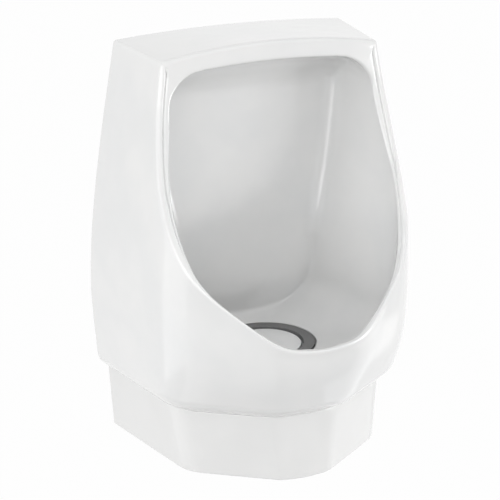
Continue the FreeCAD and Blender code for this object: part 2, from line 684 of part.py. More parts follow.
def drain_housing():
    """Housing with its flange, threaded barrel, pot and side spigot."""
    flange = drain_disc(FLANGE_RADIUS, FLANGE_BOTTOM, FLANGE_TOP)
    barrel = drain_disc(BARREL_RADIUS, BARREL_FLOOR - HOUSING_WALL, FLANGE_BOTTOM)
    pot = drain_disc(POT_RADIUS, POT_FLOOR - HOUSING_WALL, BARREL_FLOOR - HOUSING_WALL)
    spigot = outlet_disc(PIPE_RADIUS, DRAIN_Y, SPIGOT_END)
    housing = join(flange, [barrel, pot, spigot])
    housing = housing.cut(drain_disc(BARREL_BORE_RADIUS, BARREL_FLOOR, FLANGE_TOP + CUT))
    housing = housing.cut(drain_disc(POT_BORE_RADIUS, POT_FLOOR, BARREL_FLOOR + CUT))
    housing = housing.cut(outlet_disc(PIPE_BORE_RADIUS, DRAIN_Y, SPIGOT_END + CUT))
    inner = BARREL_BORE_RADIUS - CUT
    groove = drain_tube(LUG_GROOVE_RADIUS, inner, LUG_BOTTOM - RUN_GAP, FLANGE_BOTTOM)
    slots = ring_sector(LUG_GROOVE_RADIUS, inner, FLANGE_BOTTOM - CUT, FLANGE_TOP + CUT,
                        LUG_ANGLE + SLOT_EXTRA_ANGLE, LUG_COUNT)
    return housing.cut(groove).cut(slots)


def housing_gasket():
    """Flat gasket between the housing's flange and the china."""
    return drain_tube(FLANGE_RADIUS, BARREL_RADIUS + THREAD_CLEARANCE, SEAT_HEIGHT, FLANGE_BOTTOM)


def housing_washer():
    """Slip washer between the china and the lock nut."""
    inner = BARREL_RADIUS + THREAD_CLEARANCE
    return drain_tube(WASHER_RADIUS, inner, SEAT_UNDERSIDE - WASHER_THICKNESS, SEAT_UNDERSIDE)


def housing_lock_nut():
    """Lock nut with grip lugs round it."""
    high = SEAT_UNDERSIDE - WASHER_THICKNESS
    low = high - NUT_HEIGHT
    lugs = []
    for index in range(NUT_LUG_COUNT):
        half = NUT_LUG_WIDTH / 2
        lug = box(0, NUT_RADIUS + NUT_LUG_REACH, DRAIN_Y - half, DRAIN_Y + half, low, high)
        lug.rotate(at(0, DRAIN_Y, low), UP, 360.0 * index / NUT_LUG_COUNT)
        lugs.append(lug)
    nut = join(drain_disc(NUT_RADIUS, low, high), lugs)
    return nut.cut(drain_disc(BARREL_RADIUS + THREAD_CLEARANCE, low - CUT, high + CUT))


def outlet_pipe():
    """Pipe from the coupling to the wall."""
    return outlet_tube(PIPE_RADIUS, PIPE_BORE_RADIUS, -PIPE_LENGTH, 0)


def coupling_sleeve():
    """Rubber sleeve over the spigot and the pipe."""
    inner = PIPE_RADIUS + SLEEVE_CLEARANCE
    return outlet_tube(SLEEVE_RADIUS, inner, SPIGOT_END - SLEEVE_OVERLAP, SLEEVE_OVERLAP - PIPE_LENGTH)


def clamp_places():
    """Middle of each clamp along the outlet axis."""
    reach = SLEEVE_OVERLAP - CLAMP_EDGE - CLAMP_WIDTH / 2
    return {"front": SPIGOT_END - reach, "rear": reach - PIPE_LENGTH}


def clamp_screw_place(y):
    """Middle of a clamp's screw, below the pipe where it can be reached."""
    return Vector(0, y, -CLAMP_RADIUS - CLAMP_BOX_HEIGHT / 2)


def coupling_clamp(y):
    """Band with its screw box."""
    y0 = y - CLAMP_WIDTH / 2
    y1 = y + CLAMP_WIDTH / 2
    high = OUTLET_HEIGHT - SLEEVE_RADIUS
    low = OUTLET_HEIGHT - CLAMP_RADIUS - CLAMP_BOX_HEIGHT
    half = CLAMP_BOX_LENGTH / 2
    band = outlet_disc(CLAMP_RADIUS, y0, y1)
    screw_box = box(-half, half, y0, y1, low, high)
    start = clamp_screw_place(y) - RIGHT * FAR
    tunnel = Part.makeCylinder(CLAMP_SCREW_RADIUS + THREAD_CLEARANCE, 2 * FAR, start, RIGHT)
    return join(band, [screw_box]).cut(outlet_disc(SLEEVE_RADIUS, y0 - CUT, y1 + CUT)).cut(tunnel)


def clamp_screw(y):
    """Worm screw with a hexagon head that bears on the end of the screw box."""
    seat = clamp_screw_place(y) + RIGHT * (CLAMP_BOX_LENGTH / 2)
    start = seat - RIGHT * CLAMP_SCREW_LENGTH
    shank = Part.makeCylinder(CLAMP_SCREW_RADIUS, CLAMP_SCREW_LENGTH, start, RIGHT)
    corners = []
    for index in range(7):
        angle = math.pi * index / 3
        offset = Vector(0, math.cos(angle), math.sin(angle)) * CLAMP_HEAD_RADIUS
        corners.append(seat + offset)
    head = Part.Face(Part.makePolygon(corners)).extrude(RIGHT * CLAMP_HEAD_LENGTH)
    return join(shank, [head])


def wall_flange():
    """Ring that trims the pipe at the wall."""
    inner = PIPE_RADIUS + SLEEVE_CLEARANCE
    return outlet_tube(PIPE_RADIUS + WALL_FLANGE_REACH, inner, -WALL_FLANGE_THICKNESS, 0)


def lock_ring():
    """Ring that shows round the drain, with a skirt and bayonet lugs below."""
    skirt_radius = BARREL_BORE_RADIUS - RING_SKIRT_GAP
    plate = drain_disc(RING_RADIUS, RING_BOTTOM, RING_TOP - RING_BEVEL)
    bevel_start = at(0, DRAIN_Y, RING_TOP - RING_BEVEL)
    bevel = Part.makeCone(RING_RADIUS, RING_RADIUS - RING_BEVEL, RING_BEVEL, bevel_start, UP)
    skirt = drain_disc(skirt_radius, LUG_BOTTOM, RING_BOTTOM)
    lugs = ring_sector(LUG_RADIUS, RING_BORE_RADIUS, LUG_BOTTOM, LUG_TOP, LUG_ANGLE, LUG_COUNT)
    ring = join(plate, [bevel, skirt] + lugs)
    return ring.cut(drain_disc(RING_BORE_RADIUS, LUG_BOTTOM - CUT, RING_TOP + CUT))


def cartridge_cup():
    """Stepped cup with an overflow tube that stands up from its bottom."""
    lower = POT_BORE_RADIUS - CUP_SIDE_GAP
    upper = BARREL_BORE_RADIUS - 2 * RING_SKIRT_GAP
    rim = RING_BORE_RADIUS - RUN_GAP
    cup = join(drain_disc(lower, CUP_BOTTOM, CUP_STEP), [
        drain_disc(upper, CUP_STEP, SHOULDER_TOP),
        drain_disc(rim, SHOULDER_TOP, SHOULDER_TOP + CUP_RIM_RISE),
    ])
    cup = cup.cut(drain_disc(rim - CUP_WALL, CUP_FLOOR, SHOULDER_TOP + CUP_RIM_RISE + CUT))
    inner = lower - ORING_SECTION - CUP_WALL / 2
    cup = cup.cut(drain_disc(inner, CUP_BOTTOM + CUP_WALL, CUP_FLOOR + CUT))
    groove_low = ORING_HEIGHT - ORING_SECTION / 2 - RUN_GAP
    groove_high = ORING_HEIGHT + ORING_SECTION / 2 + RUN_GAP
    groove_radius = POT_BORE_RADIUS - RUN_GAP - ORING_SECTION
    cup = cup.cut(drain_tube(POT_RADIUS, groove_radius, groove_low, groove_high))
    cup = join(cup, [drain_disc(WEIR_RADIUS, CUP_BOTTOM, WEIR_TOP)])
    return cup.cut(drain_disc(WEIR_RADIUS - WEIR_WALL, CUP_BOTTOM - CUT, WEIR_TOP + CUT))


def cartridge_baffle():
    """Plate with inlet holes and a bell that hangs over the overflow tube."""
    low = CUP_FLOOR
    radius = RING_BORE_RADIUS - RUN_GAP - CUP_WALL - RUN_GAP
    plate = drain_disc(radius, low, low + BAFFLE_THICKNESS)
    bell = drain_disc(BELL_RADIUS, BELL_BOTTOM, low)
    baffle = join(plate, [bell]).cut(drain_disc(BELL_RADIUS - BELL_WALL, BELL_BOTTOM - CUT, low))
    ring = BELL_RADIUS + 2 * INLET_RADIUS
    for index in range(INLET_COUNT):
        angle = 2 * math.pi * index / INLET_COUNT
        place = at(ring * math.cos(angle), DRAIN_Y + ring * math.sin(angle), low - CUT)
        baffle = baffle.cut(Part.makeCylinder(INLET_RADIUS, BAFFLE_THICKNESS + 2 * CUT, place, UP))
    return baffle


def cartridge_cap():
    """Domed disc inside the lock ring, on a ribbed stem. Liquid runs in round its edge."""
    stem_low = CUP_FLOOR + BAFFLE_THICKNESS
    edge_top = RING_TOP - CAP_BELOW_RING
    edge_low = edge_top - CAP_THICKNESS
    radius = RING_BORE_RADIUS - RUN_GAP - CUP_WALL - CAP_GAP
    disc = drain_disc(radius, edge_low, edge_top)
    sphere = (radius ** 2 + CAP_DOME ** 2) / (2 * CAP_DOME)
    ball = Part.makeSphere(sphere, at(0, DRAIN_Y, edge_top + CAP_DOME - sphere))
    dome = drain_disc(radius, edge_low, edge_top + CAP_DOME).common(ball)
    ribs = []
    for index in range(CAP_RIB_COUNT):
        half = CAP_RIB_THICKNESS / 2
        rib = box(0, radius - INLET_RADIUS, DRAIN_Y - half, DRAIN_Y + half, stem_low, edge_low)
        rib.rotate(at(0, DRAIN_Y, stem_low), UP, 360.0 * (index + 0.5) / CAP_RIB_COUNT)
        ribs.append(rib)
    return join(disc, [dome, drain_disc(CAP_STEM_RADIUS, stem_low, edge_low)] + ribs)


def cartridge_oring():
    """Ring seal in the groove of the cup."""
    middle = POT_BORE_RADIUS - RUN_GAP - ORING_SECTION / 2
    return Part.makeTorus(middle, ORING_SECTION / 2, at(0, DRAIN_Y, ORING_HEIGHT), UP)


def cartridge_seat_gasket():
    """Flat seal below the cup's flange."""
    outer = BARREL_BORE_RADIUS - 2 * RING_SKIRT_GAP
    return drain_tube(outer, POT_BORE_RADIUS - CUP_SIDE_GAP + RUN_GAP, BARREL_FLOOR + RUN_GAP, CUP_STEP)


def nodes():
    """Every separate piece by name."""
    clamps = clamp_places()
    bracket = cover_bracket()
    screw = cover_screw()
    hanger = wall_hanger()
    return {
        "china_body": china_body(),
        "trap_cover": trap_cover(),
        "cover_seal": cover_seal(),
        "cover_bracket_right": bracket,
        "cover_bracket_left": mirrored(bracket),
        "cover_screws": Part.makeCompound([screw, mirrored(screw)]),
        "wall_hanger_right": hanger,
        "wall_hanger_left": mirrored(hanger),
        "drain_housing": drain_housing(),
        "housing_gasket": housing_gasket(),
        "housing_washer": housing_washer(),
        "housing_lock_nut": housing_lock_nut(),
        "outlet_pipe": outlet_pipe(),
        "coupling_sleeve": coupling_sleeve(),
        "coupling_clamp_front": coupling_clamp(clamps["front"]),
        "coupling_clamp_rear": coupling_clamp(clamps["rear"]),
        "clamp_screws": Part.makeCompound([clamp_screw(y) for y in clamps.values()]),
        "wall_flange": wall_flange(),
        "lock_ring": lock_ring(),
        "cartridge_cup": cartridge_cup(),
        "cartridge_baffle": cartridge_baffle(),
        "cartridge_cap": cartridge_cap(),
        "cartridge_oring": cartridge_oring(),
        "cartridge_seat_gasket": cartridge_seat_gasket(),
    }


def main():
    """Write one file per piece and print its size."""
    os.makedirs("parts", exist_ok=True)
    for name, shape in nodes().items():
        shape.exportStep(os.path.join("parts", name + ".step"))
        size = shape.BoundBox
        print(f"{name}: {len(shape.Solids)} solids, valid {shape.isValid()}, {shape.Volume / 1000:.1f} cm3, "
              f"x {size.XMin:.1f} {size.XMax:.1f} y {size.YMin:.1f} {size.YMax:.1f} "
              f"z {size.ZMin:.1f} {size.ZMax:.1f}")


main()
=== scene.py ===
"""Looks of a wall-hung urinal with a drain cartridge: glazed china, trap cover, ring, disc and fittings.

Shapes are worked out in millimetres. Heights are counted from the bottom edge of the trap cover and
depths from the wall plane, and to_frame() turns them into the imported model's metres.
"""
import logging
import math
from dataclasses import dataclass, field
from enum import Enum
from itertools import chain
from typing import Any, Callable, Optional, Sequence, Union

import bmesh
import bpy
import numpy as np
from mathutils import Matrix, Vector

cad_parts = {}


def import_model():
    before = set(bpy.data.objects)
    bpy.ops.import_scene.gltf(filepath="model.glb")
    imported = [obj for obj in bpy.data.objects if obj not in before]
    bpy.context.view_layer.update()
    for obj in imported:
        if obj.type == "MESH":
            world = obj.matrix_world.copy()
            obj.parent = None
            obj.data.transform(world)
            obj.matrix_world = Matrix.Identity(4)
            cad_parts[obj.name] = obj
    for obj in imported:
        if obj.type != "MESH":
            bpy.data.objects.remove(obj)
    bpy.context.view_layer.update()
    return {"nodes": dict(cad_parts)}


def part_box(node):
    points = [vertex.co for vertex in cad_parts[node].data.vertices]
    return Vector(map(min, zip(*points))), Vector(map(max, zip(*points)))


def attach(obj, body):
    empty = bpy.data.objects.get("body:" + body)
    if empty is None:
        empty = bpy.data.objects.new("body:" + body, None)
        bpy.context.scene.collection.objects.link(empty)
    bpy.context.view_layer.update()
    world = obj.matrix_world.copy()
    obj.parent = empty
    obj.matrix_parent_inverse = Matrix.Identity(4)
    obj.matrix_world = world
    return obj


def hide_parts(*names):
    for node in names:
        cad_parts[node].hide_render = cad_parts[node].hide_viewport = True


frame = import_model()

MM = 0.001  # metres
OUTLET_HEIGHT = -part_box("trap_cover")[0][2] / MM
DRAIN_DEPTH = 134.5  # millimetres from the wall to the drain's axis
TINY = 1e-9  # least length that is divided by
SIDE_SHARE = 0.96  # most of an outline's side that its roundings take
MOST_COSINE = 0.99999  # flatter corners are rounded as this one
WELD = 2e-6  # points closer than these metres become one
SLIVER = 1e-7  # edges shorter than these metres are taken out
NOISE_SPAN = (0.3, 0.7)  # most values of a noise lie between these
Colour = tuple[float, float, float]
Triple = tuple[float, float, float]
log = logging.getLogger("urinal")


def to_frame(points: np.ndarray) -> np.ndarray:
    """Turn millimetres with heights above the cover's bottom edge into frame metres."""
    return (points - np.array([0.0, 0.0, OUTLET_HEIGHT])) * MM


def unit(vectors: np.ndarray) -> np.ndarray:
    """Scale vectors along the last axis to length one."""
    return vectors / np.maximum(np.linalg.norm(vectors, axis=-1, keepdims=True), TINY)


def fit_lines(rows: np.ndarray) -> np.ndarray:
    """Turn one position per row into a column that fits every line; a full grid stays as it is."""
    return rows if rows.ndim == 2 else rows[:, None]


def half_outline(*corners: tuple[np.ndarray, np.ndarray]) -> np.ndarray:
    """Stack corners, given as pairs of x and y, into half outlines of shape (..., corners, 2)."""
    return np.stack([np.stack(corner, axis=-1) for corner in corners], axis=-2)


def lengths_along(points: np.ndarray) -> np.ndarray:
    """Length of a curve from its first point to each of its points."""
    steps = np.linalg.norm(np.diff(points, axis=0), axis=1)
    return np.concatenate([[0.0], np.cumsum(steps)])


def smooth_rows(knots: np.ndarray, rows: np.ndarray, at: np.ndarray) -> np.ndarray:
    """Follow a cubic curve through rows of values.

    Between two knots the values are the cubic with the rows at its ends, and with slopes there that
    are the chord over both neighbours, or over the one neighbour at the first and last knot.

    Args:
        knots: rising positions of the rows.
        rows: one row of values per knot.
        at: positions to read, of any shape.

    Returns:
        The values at those positions, along a new last axis.
    """
    gaps = np.diff(knots)
    slopes = np.empty_like(rows)
    slopes[1:-1] = (rows[2:] - rows[:-2]) / (knots[2:] - knots[:-2])[:, None]
    slopes[0] = (rows[1] - rows[0]) / gaps[0]
    slopes[-1] = (rows[-1] - rows[-2]) / gaps[-1]
    index = np.clip(np.searchsorted(knots, at) - 1, 0, len(knots) - 2)
    span = gaps[index][..., None]
    t = (at - knots[index])[..., None] / span
    start = rows[index] * (1 + 2 * t) * (1 - t) ** 2 + slopes[index] * span * t * (1 - t) ** 2
    end = rows[index + 1] * t ** 2 * (3 - 2 * t) - slopes[index + 1] * span * t ** 2 * (1 - t)
    return start + end


def inset_outline(corners: np.ndarray, distance: np.ndarray) -> np.ndarray:
    """Move the sides of half outlines inward, keeping their ends on the wall and the middle plane.

    Args:
        corners: half outlines of shape (..., corners, 2), from the wall to the middle plane.
        distance: how far each outline's sides move inward; negative moves them outward.

    Returns:
        Corners of the moved outlines.
    """
    along = unit(np.diff(corners, axis=-2))
    inward = np.stack([along[..., 1], -along[..., 0]], axis=-1)
    moved = corners[..., :-1, :] + inward * distance[..., None, None]
    rise = (corners[..., 0, 1] - moved[..., 0, 1]) / along[..., 0, 1]
    first = moved[..., 0, :] + along[..., 0, :] * rise[..., None]
    here, after = along[..., :-1, :], along[..., 1:, :]
    gap = moved[..., 1:, :] - moved[..., :-1, :]
    cross = here[..., 0] * after[..., 1] - here[..., 1] * after[..., 0]
    step = (gap[..., 0] * after[..., 1] - gap[..., 1] * after[..., 0]) / cross
    middle = moved[..., :-1, :] + here * step[..., None]
    run = moved[..., -1, 0] / along[..., -1, 0]
    last = moved[..., -1, :] - along[..., -1, :] * run[..., None]
    return np.concatenate([first[..., None, :], middle, last[..., None, :]], axis=-2)


def rounded_path(corners: np.ndarray, radii: np.ndarray, share: np.ndarray) -> np.ndarray:
    """Walk along half outlines whose corners are softly rounded.

    A corner is a fourth-degree curve that starts on the side before, has the corner as its middle
    control point and ends on the side after, so its curvature grows from nothing and fades again.
    Its reach makes it as tight in the middle as an arc of the corner's radius, within SIDE_SHARE of a side.

    Args:
        corners: half outlines of shape (..., corners, 2), ending on the middle plane.
        radii: one radius per corner; the first is not used.
        share: position along each outline, 0 at its start and 1 on the middle plane.

    Returns:
        Points of shape (..., 2).
    """
    sides = np.diff(corners, axis=-2)
    length = np.linalg.norm(sides, axis=-1)
    along = sides / length[..., None]
    mirrored = along[..., -1:, :] * np.array([1.0, -1.0])
    after = np.concatenate([along[..., 1:, :], mirrored], axis=-2)
    turn = np.arccos(np.clip(np.sum(along * after, axis=-1), -1.0, MOST_COSINE))
    reach = 8 / 3 * radii[..., 1:] * np.tan(turn / 2) * np.tan(turn / 4) / np.sin(turn / 2)
    reach = np.concatenate([np.zeros_like(reach[..., :1]), reach], axis=-1)
    fit = np.minimum(1.0, SIDE_SHARE * length / (reach[..., :-1] + reach[..., 1:]))
    limit = np.minimum(fit, np.concatenate([fit[..., 1:], fit[..., -1:]], axis=-1))
    reach[..., 1:] *= limit
    begin = corners[..., :-1, :] + along * reach[..., :-1, None]
    finish = corners[..., 1:, :] - along * reach[..., 1:, None]
    beyond = corners[..., 1:, :] + after * reach[..., 1:, None]
    straight = np.linalg.norm(finish - begin, axis=-1)
    bend = np.linalg.norm(beyond - finish, axis=-1) / 2 + reach[..., 1:]
    bend[..., -1] /= 2
    steps = np.stack([straight, bend], axis=-1).reshape(*straight.shape[:-1], -1)
    marks = np.cumsum(steps, axis=-1) / np.sum(steps, axis=-1, keepdims=True)
    marks = np.concatenate([np.zeros_like(marks[..., :1]), marks], axis=-1)
    result = np.array(np.broadcast_to(corners[..., 0, :], share.shape + (2,)))
    for side in range(straight.shape[-1]):
        low, high, done = marks[..., 2 * side], marks[..., 2 * side + 1], marks[..., 2 * side + 2]
        t = np.clip((share - low) / np.maximum(high - low, TINY), 0.0, 1.0)[..., None]
        line = begin[..., side, :] * (1 - t) + finish[..., side, :] * t
        result = np.where((share >= low)[..., None], line, result)
        last = 0.5 if side == straight.shape[-1] - 1 else 1.0
        t = np.clip((share - high) / np.maximum(done - high, TINY), 0.0, 1.0)[..., None] * last
        corner = corners[..., side + 1, :]
        curve = (finish[..., side, :] * ((1 - t) ** 4 + 2 * t * (1 - t) ** 3)
                 + corner * (2 * t * (1 - t) ** 3 + 6 * t ** 2 * (1 - t) ** 2 + 2 * t ** 3 * (1 - t))
                 + beyond[..., side, :] * (2 * t ** 3 * (1 - t) + t ** 4))
        result = np.where((share > high)[..., None], curve, result)
    return result


def bezier(points: list[np.ndarray], count: int) -> np.ndarray:
    """Curve each column from the first to the last of four control points.

    Args:
        points: four arrays of shape (columns, 3).
        count: number of rows, both ends included.

    Returns:
        Rows of points, of shape (count, columns, 3).
    """
    t = np.linspace(0.0, 1.0, count)[:, None, None]
    a, b, c, d = points
    return a * (1 - t) ** 3 + b * 3 * t * (1 - t) ** 2 + c * 3 * t ** 2 * (1 - t) + d * t ** 3


def rounded_profile(points: list[tuple[float, float]], radii: Sequence[float], count: int = 5) -> np.ndarray:
    """Round the corners of a closed profile with parabolas between its sides.

    Args:
        points: corners in order.
        radii: how far the rounding of each corner reaches along its sides.
        count: points per rounded corner.

    Returns:
        The rounded profile, of shape (points, 2).
    """
    corner = np.array(points)
    reach = np.array(radii)[:, None]
    before = corner + unit(np.roll(corner, 1, axis=0) - corner) * reach
    after = corner + unit(np.roll(corner, -1, axis=0) - corner) * reach
    t = np.linspace(0.0, 1.0, count)[None, :, None]
    curve = before[:, None] * (1 - t) ** 2 + corner[:, None] * 2 * t * (1 - t) + after[:, None] * t ** 2
    return curve.reshape(-1, 2)


def split_profile(profile: np.ndarray, longest: float) -> np.ndarray:
    """Add points on the long sides of a closed profile.

    Args:
        profile: points in order.
        longest: no side stays longer than this.

    Returns:
        The profile with evenly spread points added.
    """
    after = np.roll(profile, -1, axis=0)
    pieces = np.ceil(np.linalg.norm(after - profile, axis=1) / longest).astype(int).clip(1)
    first = np.repeat(profile, pieces, axis=0)
    last = np.repeat(after, pieces, axis=0)
    order = np.arange(pieces.sum()) - np.repeat(np.cumsum(pieces) - pieces, pieces)
    share = (order / np.repeat(pieces, pieces))[:, None]
    return first + (last - first) * share


class MeshBuilder:
    """Gathers grids of points and joins them into one smooth mesh."""

    def __init__(self, name: str) -> None:
        """Start an empty piece.

        Args:
            name: the piece's name.
        """
        self.name = name
        self.points: list[np.ndarray] = []
        self.faces: list[np.ndarray] = []
        self.marks: list[np.ndarray] = []
        self.total = 0

    def grid(self, points: np.ndarray, around: bool = False, across: bool = False,
             mark: Union[float, np.ndarray] = 0.0) -> None:
        """Add a sheet of quads.

        Args:
            points: rows and columns of points in millimetres, of shape (rows, columns, 3).
            around: join the last column to the first.
            across: join the last row to the first.
            mark: value kept per point in the piece's "bare" attribute.
        """
        rows, columns = points.shape[:2]
        index = np.arange(rows * columns).reshape(rows, columns) + self.total
        if around:
            index = np.concatenate([index, index[:, :1]], axis=1)
        if across:
            index = np.concatenate([index, index[:1]], axis=0)
        quads = np.stack([index[:-1, :-1], index[:-1, 1:], index[1:, 1:], index[1:, :-1]], axis=-1)
        self.faces.append(quads.reshape(-1, 4))
        self.points.append(points.reshape(-1, 3))
        self.marks.append(np.array(np.broadcast_to(mark, (rows, columns))).reshape(-1))
        self.total += rows * columns

    def sheet(self, points: np.ndarray) -> None:
        """Add one flat face with many corners.

        Args:
            points: the corners in order, of shape (corners, 3).
        """
        self.faces.append(np.arange(self.total, self.total + len(points))[None])
        self.points.append(points)
        self.marks.append(np.zeros(len(points)))
        self.total += len(points)

    def box(self, low: Triple, high: Triple, turn: float = 0.0, axis: float = 0.0) -> None:
        """Add a block with a bottom and a top.

        Args:
            low: corner with the least x, y and z.
            high: corner opposite.
            turn: angle by which the block is turned round an upright axis.
            axis: depth of that axis.
        """
        flat_x = np.array([low[0], high[0], high[0], low[0]])
        flat_y = np.array([low[1], low[1], high[1], high[1]]) - axis
        ring_x = flat_x * math.cos(turn) - flat_y * math.sin(turn)
        ring_y = flat_x * math.sin(turn) + flat_y * math.cos(turn) + axis
        rows = [np.stack([ring_x, ring_y, np.full(4, level)], axis=-1) for level in (low[2], high[2])]
        self.grid(np.stack(rows), around=True)
        self.sheet(rows[0])
        self.sheet(rows[1])

    def build(self, sharp: float = 38.0, mirror: bool = False) -> bpy.types.Object:
        """Make the object.

        Args:
            sharp: edges that turn by more degrees than this are shaded as edges.
            mirror: add the same points on the other side of the middle plane.

        Returns:
            The new object at the frame's origin, linked to the scene.
        """
        points = np.concatenate(self.points)
        marks = np.concatenate(self.marks)
        faces = self.faces
        if mirror:
            count = len(points)
            points = np.concatenate([points, points * np.array([-1.0, 1.0, 1.0])])
            marks = np.concatenate([marks, marks])
            faces = faces + [count + block[:, ::-1] for block in faces]
        mesh = bpy.data.meshes.new(self.name)
        mesh.from_pydata(to_frame(points).tolist(), [], list(chain.from_iterable(map(np.ndarray.tolist, faces))))
        layer = mesh.attributes.new("bare", "FLOAT", "POINT")
        layer.data.foreach_set("value", marks.astype(np.float32))
        shape = bmesh.new()
        shape.from_mesh(mesh)
        bmesh.ops.remove_doubles(shape, verts=shape.verts, dist=WELD)
        bmesh.ops.dissolve_degenerate(shape, edges=shape.edges, dist=SLIVER)
        bmesh.ops.recalc_face_normals(shape, faces=shape.faces)
        shape.to_mesh(mesh)
        shape.free()
        mesh.polygons.foreach_set("use_smooth", np.ones(len(mesh.polygons), dtype=bool))
        mesh.set_sharp_from_angle(angle=math.radians(sharp))
        piece = bpy.data.objects.new(self.name, mesh)
        bpy.context.scene.collection.objects.link(piece)
        return piece


class Turned:
    """Surfaces turned round the drain's upright axis."""

    def __init__(self, depth: float, count: int) -> None:
        """Keep the axis's depth in front of the wall and the number of steps round it."""
        self.depth = depth
        self.angle = np.linspace(0.0, 2 * math.pi, count, endpoint=False)

    def surface(self, radius: np.ndarray, height: np.ndarray) -> np.ndarray:
        """Turn a profile: x and y are the radius along the angle, and the height stays.

        Args:
            radius: radii of shape (rows, 1) or (rows, angles).
            height: heights of shape (rows, 1).

        Returns:
            Points of shape (rows, angles, 3).
        """
        x = radius * np.cos(self.angle)
        y = self.depth + radius * np.sin(self.angle)
        return np.stack(np.broadcast_arrays(x, y, height), axis=-1)


Operand = Union["Sock", float]


class Sock:
    """A shader socket that takes part in sums; each operation adds a Math node."""

    def __init__(self, paint: "Paint", socket: bpy.types.NodeSocket) -> None:
        """Keep the socket and the material it belongs to."""
        self.paint = paint
        self.socket = socket

    def math(self, operation: str, first: Operand, second: Operand) -> "Sock":
        """Add a Math node on two values."""
        return self.paint.add("ShaderNodeMath", {"operation": operation}, {0: first, 1: second})

    def __add__(self, other: Operand) -> "Sock":
        """Sum."""
        return self.math("ADD", self, other)

    def __radd__(self, other: Operand) -> "Sock":
        """Sum with a number before."""
        return self.math("ADD", other, self)

    def __sub__(self, other: Operand) -> "Sock":
        """Difference."""
        return self.math("SUBTRACT", self, other)

    def __rsub__(self, other: Operand) -> "Sock":
        """Difference from a number before."""
        return self.math("SUBTRACT", other, self)

    def __mul__(self, other: Operand) -> "Sock":
        """Product."""
        return self.math("MULTIPLY", self, other)

    def __rmul__(self, other: Operand) -> "Sock":
        """Product with a number before."""
        return self.math("MULTIPLY", other, self)

    def clamped(self) -> "Sock":
        """Keep the value from 0 to 1."""
        return self.paint.add("ShaderNodeClamp", {}, {"Value": self})


@dataclass(frozen=True)
class Patches:
    """Noise whose values from low to high are spread smoothly over a range; below and above it is even."""

    scale: float
    detail: float
    low: float
    high: float
    rough: float = 0.5


class Paint:
    """Builds the nodes of one material, or of the world."""

    mix_factor, mix_first, mix_second, mix_result = 0, 6, 7, 2

    def __init__(self, name: str, world: Optional[bpy.types.World] = None) -> None:
        """Start without nodes.

        Args:
            name: the new material's name.
            world: the world to paint in place of a material.
        """
        self.material = world or bpy.data.materials.new(name)
        self.material.use_nodes = True
        self.tree = self.material.node_tree
        self.tree.nodes.clear()

    def add(self, kind: str, settings: dict[str, Any], values: dict[Any, Any], output: Any = 0) -> Sock:
        """Add a node.

        Args:
            kind: Blender's node type.
            settings: properties that are set first.
            values: socket names or numbers, with a constant or another socket.
            output: name or number of the output that is handed back.

        Returns:
            The output socket.
        """
        node = self.tree.nodes.new(kind)
        for name, value in settings.items():
            setattr(node, name, value)
        for name, value in values.items():
            if isinstance(value, Sock):
                self.tree.links.new(value.socket, node.inputs[name])
            else:
                node.inputs[name].default_value = value
        return Sock(self, node.outputs[output])

    def place(self) -> Sock:
        """Object coordinates, in metres."""
        return self.add("ShaderNodeTexCoord", {}, {}, "Object")

    def noise(self, where: Sock, scale: float, detail: float = 2.0, rough: float = 0.5) -> Sock:
        """Noise from 0 to 1 at a place."""
        values = {"Vector": where, "Scale": scale, "Detail": detail, "Roughness": rough}
        return self.add("ShaderNodeTexNoise", {}, values)

    def cells(self, where: Sock, scale: float, output: str = "Distance") -> Sock:
        """Voronoi cells at a place."""
        return self.add("ShaderNodeTexVoronoi", {"feature": "F1"}, {"Vector": where, "Scale": scale}, output)

    def ramp(self, value: Sock, low: float, high: float, to_low: float = 0.0, to_high: float = 1.0) -> Sock:
        """Map one range of a value smoothly to another."""
        values = {"Value": value, "From Min": low, "From Max": high, "To Min": to_low, "To Max": to_high}
        return self.add("ShaderNodeMapRange", {"interpolation_type": "SMOOTHSTEP"}, values)

    def patched(self, where: Sock, patches: Patches, to_low: float = 0.0, to_high: float = 1.0) -> Sock:
        """Patches at a place, from one value to another."""
        noise = self.noise(where, patches.scale, patches.detail, patches.rough)
        return self.ramp(noise, patches.low, patches.high, to_low, to_high)

    def mix(self, factor: Operand, first: Union[Sock, Colour], second: Union[Sock, Colour]) -> Sock:
        """Mix two colours.

        Args:
            factor: the second colour's share.
            first: colour where the share is nothing.
            second: colour where the share is one.

        Returns:
            The mixed colour.
        """
        pair = [value if isinstance(value, Sock) else (*value, 1.0) for value in (first, second)]
        values = {self.mix_factor: factor, self.mix_first: pair[0], self.mix_second: pair[1]}
        return self.add("ShaderNodeMix", {"data_type": "RGBA"}, values, self.mix_result)

    def bump(self, height: Sock, strength: float, distance: float) -> Sock:
        """Normal of a raised pattern, with the distance in metres."""
        return self.add("ShaderNodeBump", {}, {"Strength": strength, "Distance": distance, "Height": height})

    def stretched(self, where: Sock, scale: Triple) -> Sock:
        """A place with each axis scaled."""
        return self.add("ShaderNodeVectorMath", {"operation": "MULTIPLY"}, {0: where, 1: scale})

    def finish(self, **values: Any) -> bpy.types.Material:
        """End with a Principled BSDF.

        Args:
            values: its sockets, with underscores for spaces, and their values or links.

        Returns:
            The finished material.
        """
        named = {name.replace("_", " "): value for name, value in values.items()}
        named = {name: (*value, 1.0) if isinstance(value, tuple) else value for name, value in named.items()}
        shader = self.add("ShaderNodeBsdfPrincipled", {}, named)
        self.add_output(shader)
        return self.material

    def add_output(self, shader: Sock, kind: str = "ShaderNodeOutputMaterial") -> None:
        """Link a shader to the output."""
        node = self.tree.nodes.new(kind)
        self.tree.links.new(shader.socket, node.inputs["Surface"])


